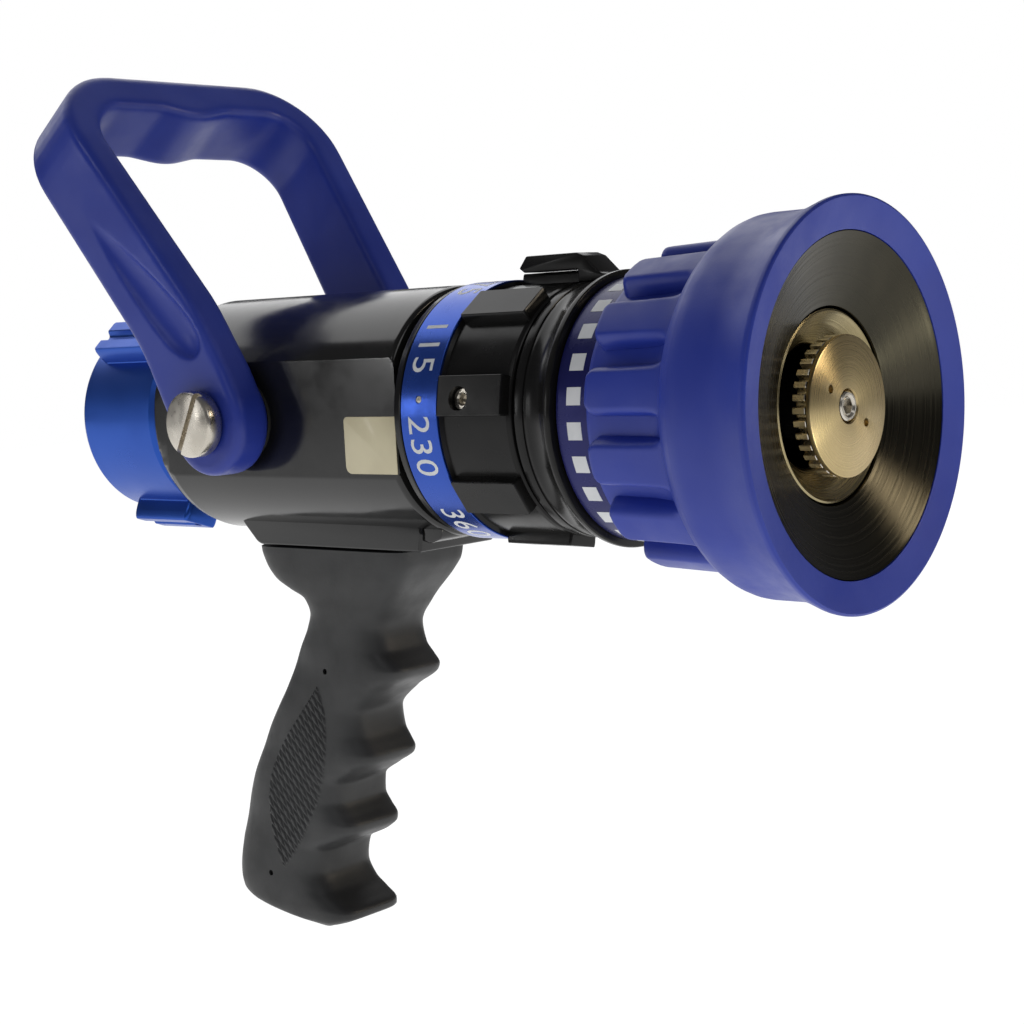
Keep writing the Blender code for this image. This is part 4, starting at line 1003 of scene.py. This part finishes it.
def panel_patch(sign):
    """Diamond checkering in a leaf-shaped field on the side of the grip."""
    axis = Vector(PANEL_END) - Vector(PANEL_TIP)
    length = axis.length
    axis.normalize()
    cross = Vector((-axis.y, axis.x))
    rows = []
    for i in range(PANEL_ROWS + 1):
        t = i / PANEL_ROWS
        front = 10.6 * math.sin(math.pi * t ** 0.86) ** 0.72 if 0 < t < 1 else 0.0
        rear = -13.4 * math.sin(math.pi * t ** 1.3) ** 0.9 if 0 < t < 1 else 0.0
        row = []
        for j in range(PANEL_COLUMNS + 1):
            s = rear + (front - rear) * j / PANEL_COLUMNS
            point = Vector(PANEL_TIP) + axis * (t * length) + cross * s
            edge = min(s - rear, front - s, t * length * 0.8, (1 - t) * length * 0.8)
            fade = float(smooth_step(edge / 1.1))
            a = (point.x * 0.94 + point.y * 0.34) / 2.1
            b = (point.x * 0.94 - point.y * 0.34) / 2.1 * 0.6 + point.y / 2.3
            ridge = min(1.0 - abs(2.0 * (a % 1.0) - 1.0), 1.0 - abs(2.0 * (b % 1.0) - 1.0))
            lift = -0.25 * (1.0 - fade) + fade * (0.05 + 0.62 * min(ridge * 1.5, 0.8))
            row.append((point.x, sign * (grip_side(point.x, point.y) + lift), point.y))
        rows.append(row)
    return grid_mesh("panel", rows, False, False)


def build_grip():
    levels = np.concatenate((np.linspace(-42.1, -43.0, 5), np.linspace(-43.6, GRIP_LAST_KEY, 190)))
    rows = [grip_section(float(z), GRIP_SIDES) for z in levels]
    lip = [((x - 15.3) * 0.985 + 15.3, y * 0.96, z) for x, y, z in rows[0]]
    base = [((x - 2.0) * 0.9 + 2.0, y * 0.93, GRIP_BASE) for x, y, z in rows[-1]]
    rows = [[(x, y, -41.8) for x, y, z in lip]] + rows + [base]
    mesh = grid_mesh("grip", rows, True, False, True)
    for sign in (-1, 1):
        for x, z in DIMPLES:
            place = (Matrix.Translation((x, sign * 16.0, z))
                     @ Matrix.Rotation(math.pi / 2, 4, "X"))
            hole = lathe_about("hole", [(-5.0, 0.0), (-5.0, 0.95), (5.0, 0.95), (5.0, 0.0)],
                               place, 24)
            mesh = combine("grip", mesh, [("DIFFERENCE", hole)])
    place = (Matrix.Translation((20.0, 0.0, -41.6)) @ Matrix.Rotation(math.radians(14.9), 4, "Y"))
    access = lathe_about("access", [(-160.0, 0.0), (-160.0, 7.4), (-34.0, 7.4), (-34.0, 4.4),
                                    (10.0, 4.4), (10.0, 0.0)], place, 64)
    mesh = combine("grip", mesh, [("DIFFERENCE", access)])
    piece("pistol_grip_shell", mesh, GRIP_BLACK, "nozzle_body", ["pistol_grip"],
          50.0)
    panels = merged("panels", [panel_patch(-1), panel_patch(1)])
    piece("grip_checkering", panels, GRIP_BLACK, "nozzle_body", (), 80.0)


build_coupling()
build_body()
build_bail()
build_selector()
build_numbers()
build_collar()
build_pattern()
build_head()
build_grip()

# ------------------------------------------------------------------ carried-over nodes
KEPT = {
    RING_BLACK: ("barrel", "stem_guide", "stem"),
    SCREW_STEEL: ("grip_bolt", "grip_washer", "swivel_ball_ring", "ball_race_plug",
                  "shutoff_ball", "trunnion_near", "trunnion_far", "detent_ball",
                  "detent_spring"),
    SEAL: ("coupling_gasket", "swivel_o_ring", "sleeve_o_ring_front", "trunnion_o_ring_near",
           "trunnion_o_ring_far"),
    SEAT: ("front_ball_seat", "rear_ball_seat", "trunnion_bush_near", "trunnion_bush_far",
           "thrust_washer_near", "thrust_washer_far", "cam_guide_ring"),
}
for mat, names in KEPT.items():
    for name in names:
        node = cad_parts[name]
        for slot_ in node.material_slots:
            slot_.material = mat


# ------------------------------------------------------------------ floor, light and camera
FLOOR_HALF, FLOOR_Z = 3000.0, -186.0
FLOOR_GREY = (0.10, 0.10, 0.10)
FLOOR_ROUGHNESS = 0.9
WORLD_GREY = (0.10, 0.10, 0.105)
CAMERA_LENS = 69.41
CAMERA_PLACE = (466.1, -439.3, 26.1)
CAMERA_RIGHT = (0.75444, 0.65437, -0.05127)
CAMERA_UP = (-0.02446, 0.10610, 0.99409)
CAMERA_FORWARD = (-0.65593, 0.74872, -0.09605)


def build_stage():
    """A broad floor that gives off white light, so that it stays pale."""
    rows = [[(x, -FLOOR_HALF, FLOOR_Z), (x, FLOOR_HALF, FLOOR_Z)]
            for x in (-FLOOR_HALF, FLOOR_HALF)]
    mesh = grid_mesh("floor", rows, False, False)
    mesh.transform(Matrix.Translation(PIVOT) @ Matrix.Scale(MM, 4))
    floor = bpy.data.objects.new("studio_floor", mesh)
    bpy.context.scene.collection.objects.link(floor)
    mat = new_material("pale_floor", specular=0.1)
    bsdf = mat.node_tree.nodes["Principled BSDF"]
    bsdf.inputs["Base Color"].default_value = (*FLOOR_GREY, 1.0)
    bsdf.inputs["Roughness"].default_value = FLOOR_ROUGHNESS
    bsdf.inputs["Emission Color"].default_value = (1.0, 1.0, 1.0, 1.0)
    bsdf.inputs["Emission Strength"].default_value = 1.0
    mesh.materials.append(mat)


def area_light(name, place, aim, size, power, tint=(1.0, 1.0, 1.0)):
    data = bpy.data.lights.new(name, "AREA")
    data.shape = "RECTANGLE"
    data.size = size[0]
    data.size_y = size[1]
    data.energy = power
    data.color = tint
    lamp = bpy.data.objects.new(name, data)
    bpy.context.scene.collection.objects.link(lamp)
    lamp.location = place
    lamp.visible_camera = False
    toward = Vector(aim) - Vector(place)
    lamp.rotation_euler = toward.to_track_quat("-Z", "Y").to_euler()


build_stage()
centre = PIVOT + Vector((0.06, 0.0, 0.0))
area_light("left_panel", centre + Vector((-0.95, 0.45, 1.0)), centre, (1.7, 1.4), 11.0)
area_light("window", centre + Vector((-1.10, -1.20, 0.16)), centre, (0.045, 0.34), 0.75)
area_light("camera_panel", centre + Vector((0.15, -1.35, 1.0)), centre, (0.5, 0.5), 1.9)
mouth = PIVOT + Vector((0.195, 0.0, 0.0))
area_light("front_panel", mouth + Vector((0.80, 0.49, 0.40)) * 1.2, mouth, (0.22, 0.5), 3.0,
           (1.0, 0.85, 0.64))
area_light("low_panel", mouth + Vector((0.89, 0.26, -0.34)) * 0.5, mouth, (0.12, 0.12), 0.30,
           (1.0, 0.97, 0.80))
area_light("face_panel", mouth + Vector((1.3, -0.1, 0.9)), mouth, (0.5, 0.5), 1.3)


def build_world():
    """The world lights the object dimly in grey, and is white to the camera."""
    world = bpy.data.worlds.new("studio")
    world.use_nodes = True
    tree = world.node_tree
    background = tree.nodes["Background"]
    background.inputs["Color"].default_value = (*WORLD_GREY, 1.0)
    backdrop = tree.nodes.new("ShaderNodeBackground")
    backdrop.inputs["Color"].default_value = (1.0, 1.0, 1.0, 1.0)
    path = tree.nodes.new("ShaderNodeLightPath")
    mixer = tree.nodes.new("ShaderNodeMixShader")
    tree.links.new(path.outputs["Is Camera Ray"], mixer.inputs["Fac"])
    tree.links.new(background.outputs["Background"], mixer.inputs[1])
    tree.links.new(backdrop.outputs["Background"], mixer.inputs[2])
    tree.links.new(mixer.outputs["Shader"], tree.nodes["World Output"].inputs["Surface"])
    bpy.context.scene.world = world
    bpy.context.scene.view_settings.view_transform = "Standard"


def build_camera():
    data = bpy.data.cameras.new("camera")
    data.sensor_width = 36.0
    data.lens = CAMERA_LENS
    data.clip_start = 0.01
    data.clip_end = 50.0
    camera = bpy.data.objects.new("camera", data)
    bpy.context.scene.collection.objects.link(camera)
    backward = -Vector(CAMERA_FORWARD)
    turn = Matrix((Vector(CAMERA_RIGHT), Vector(CAMERA_UP), backward)).transposed().to_4x4()
    camera.matrix_world = Matrix.Translation(at(*CAMERA_PLACE)) @ turn
    bpy.context.scene.camera = camera


build_world()
build_camera()
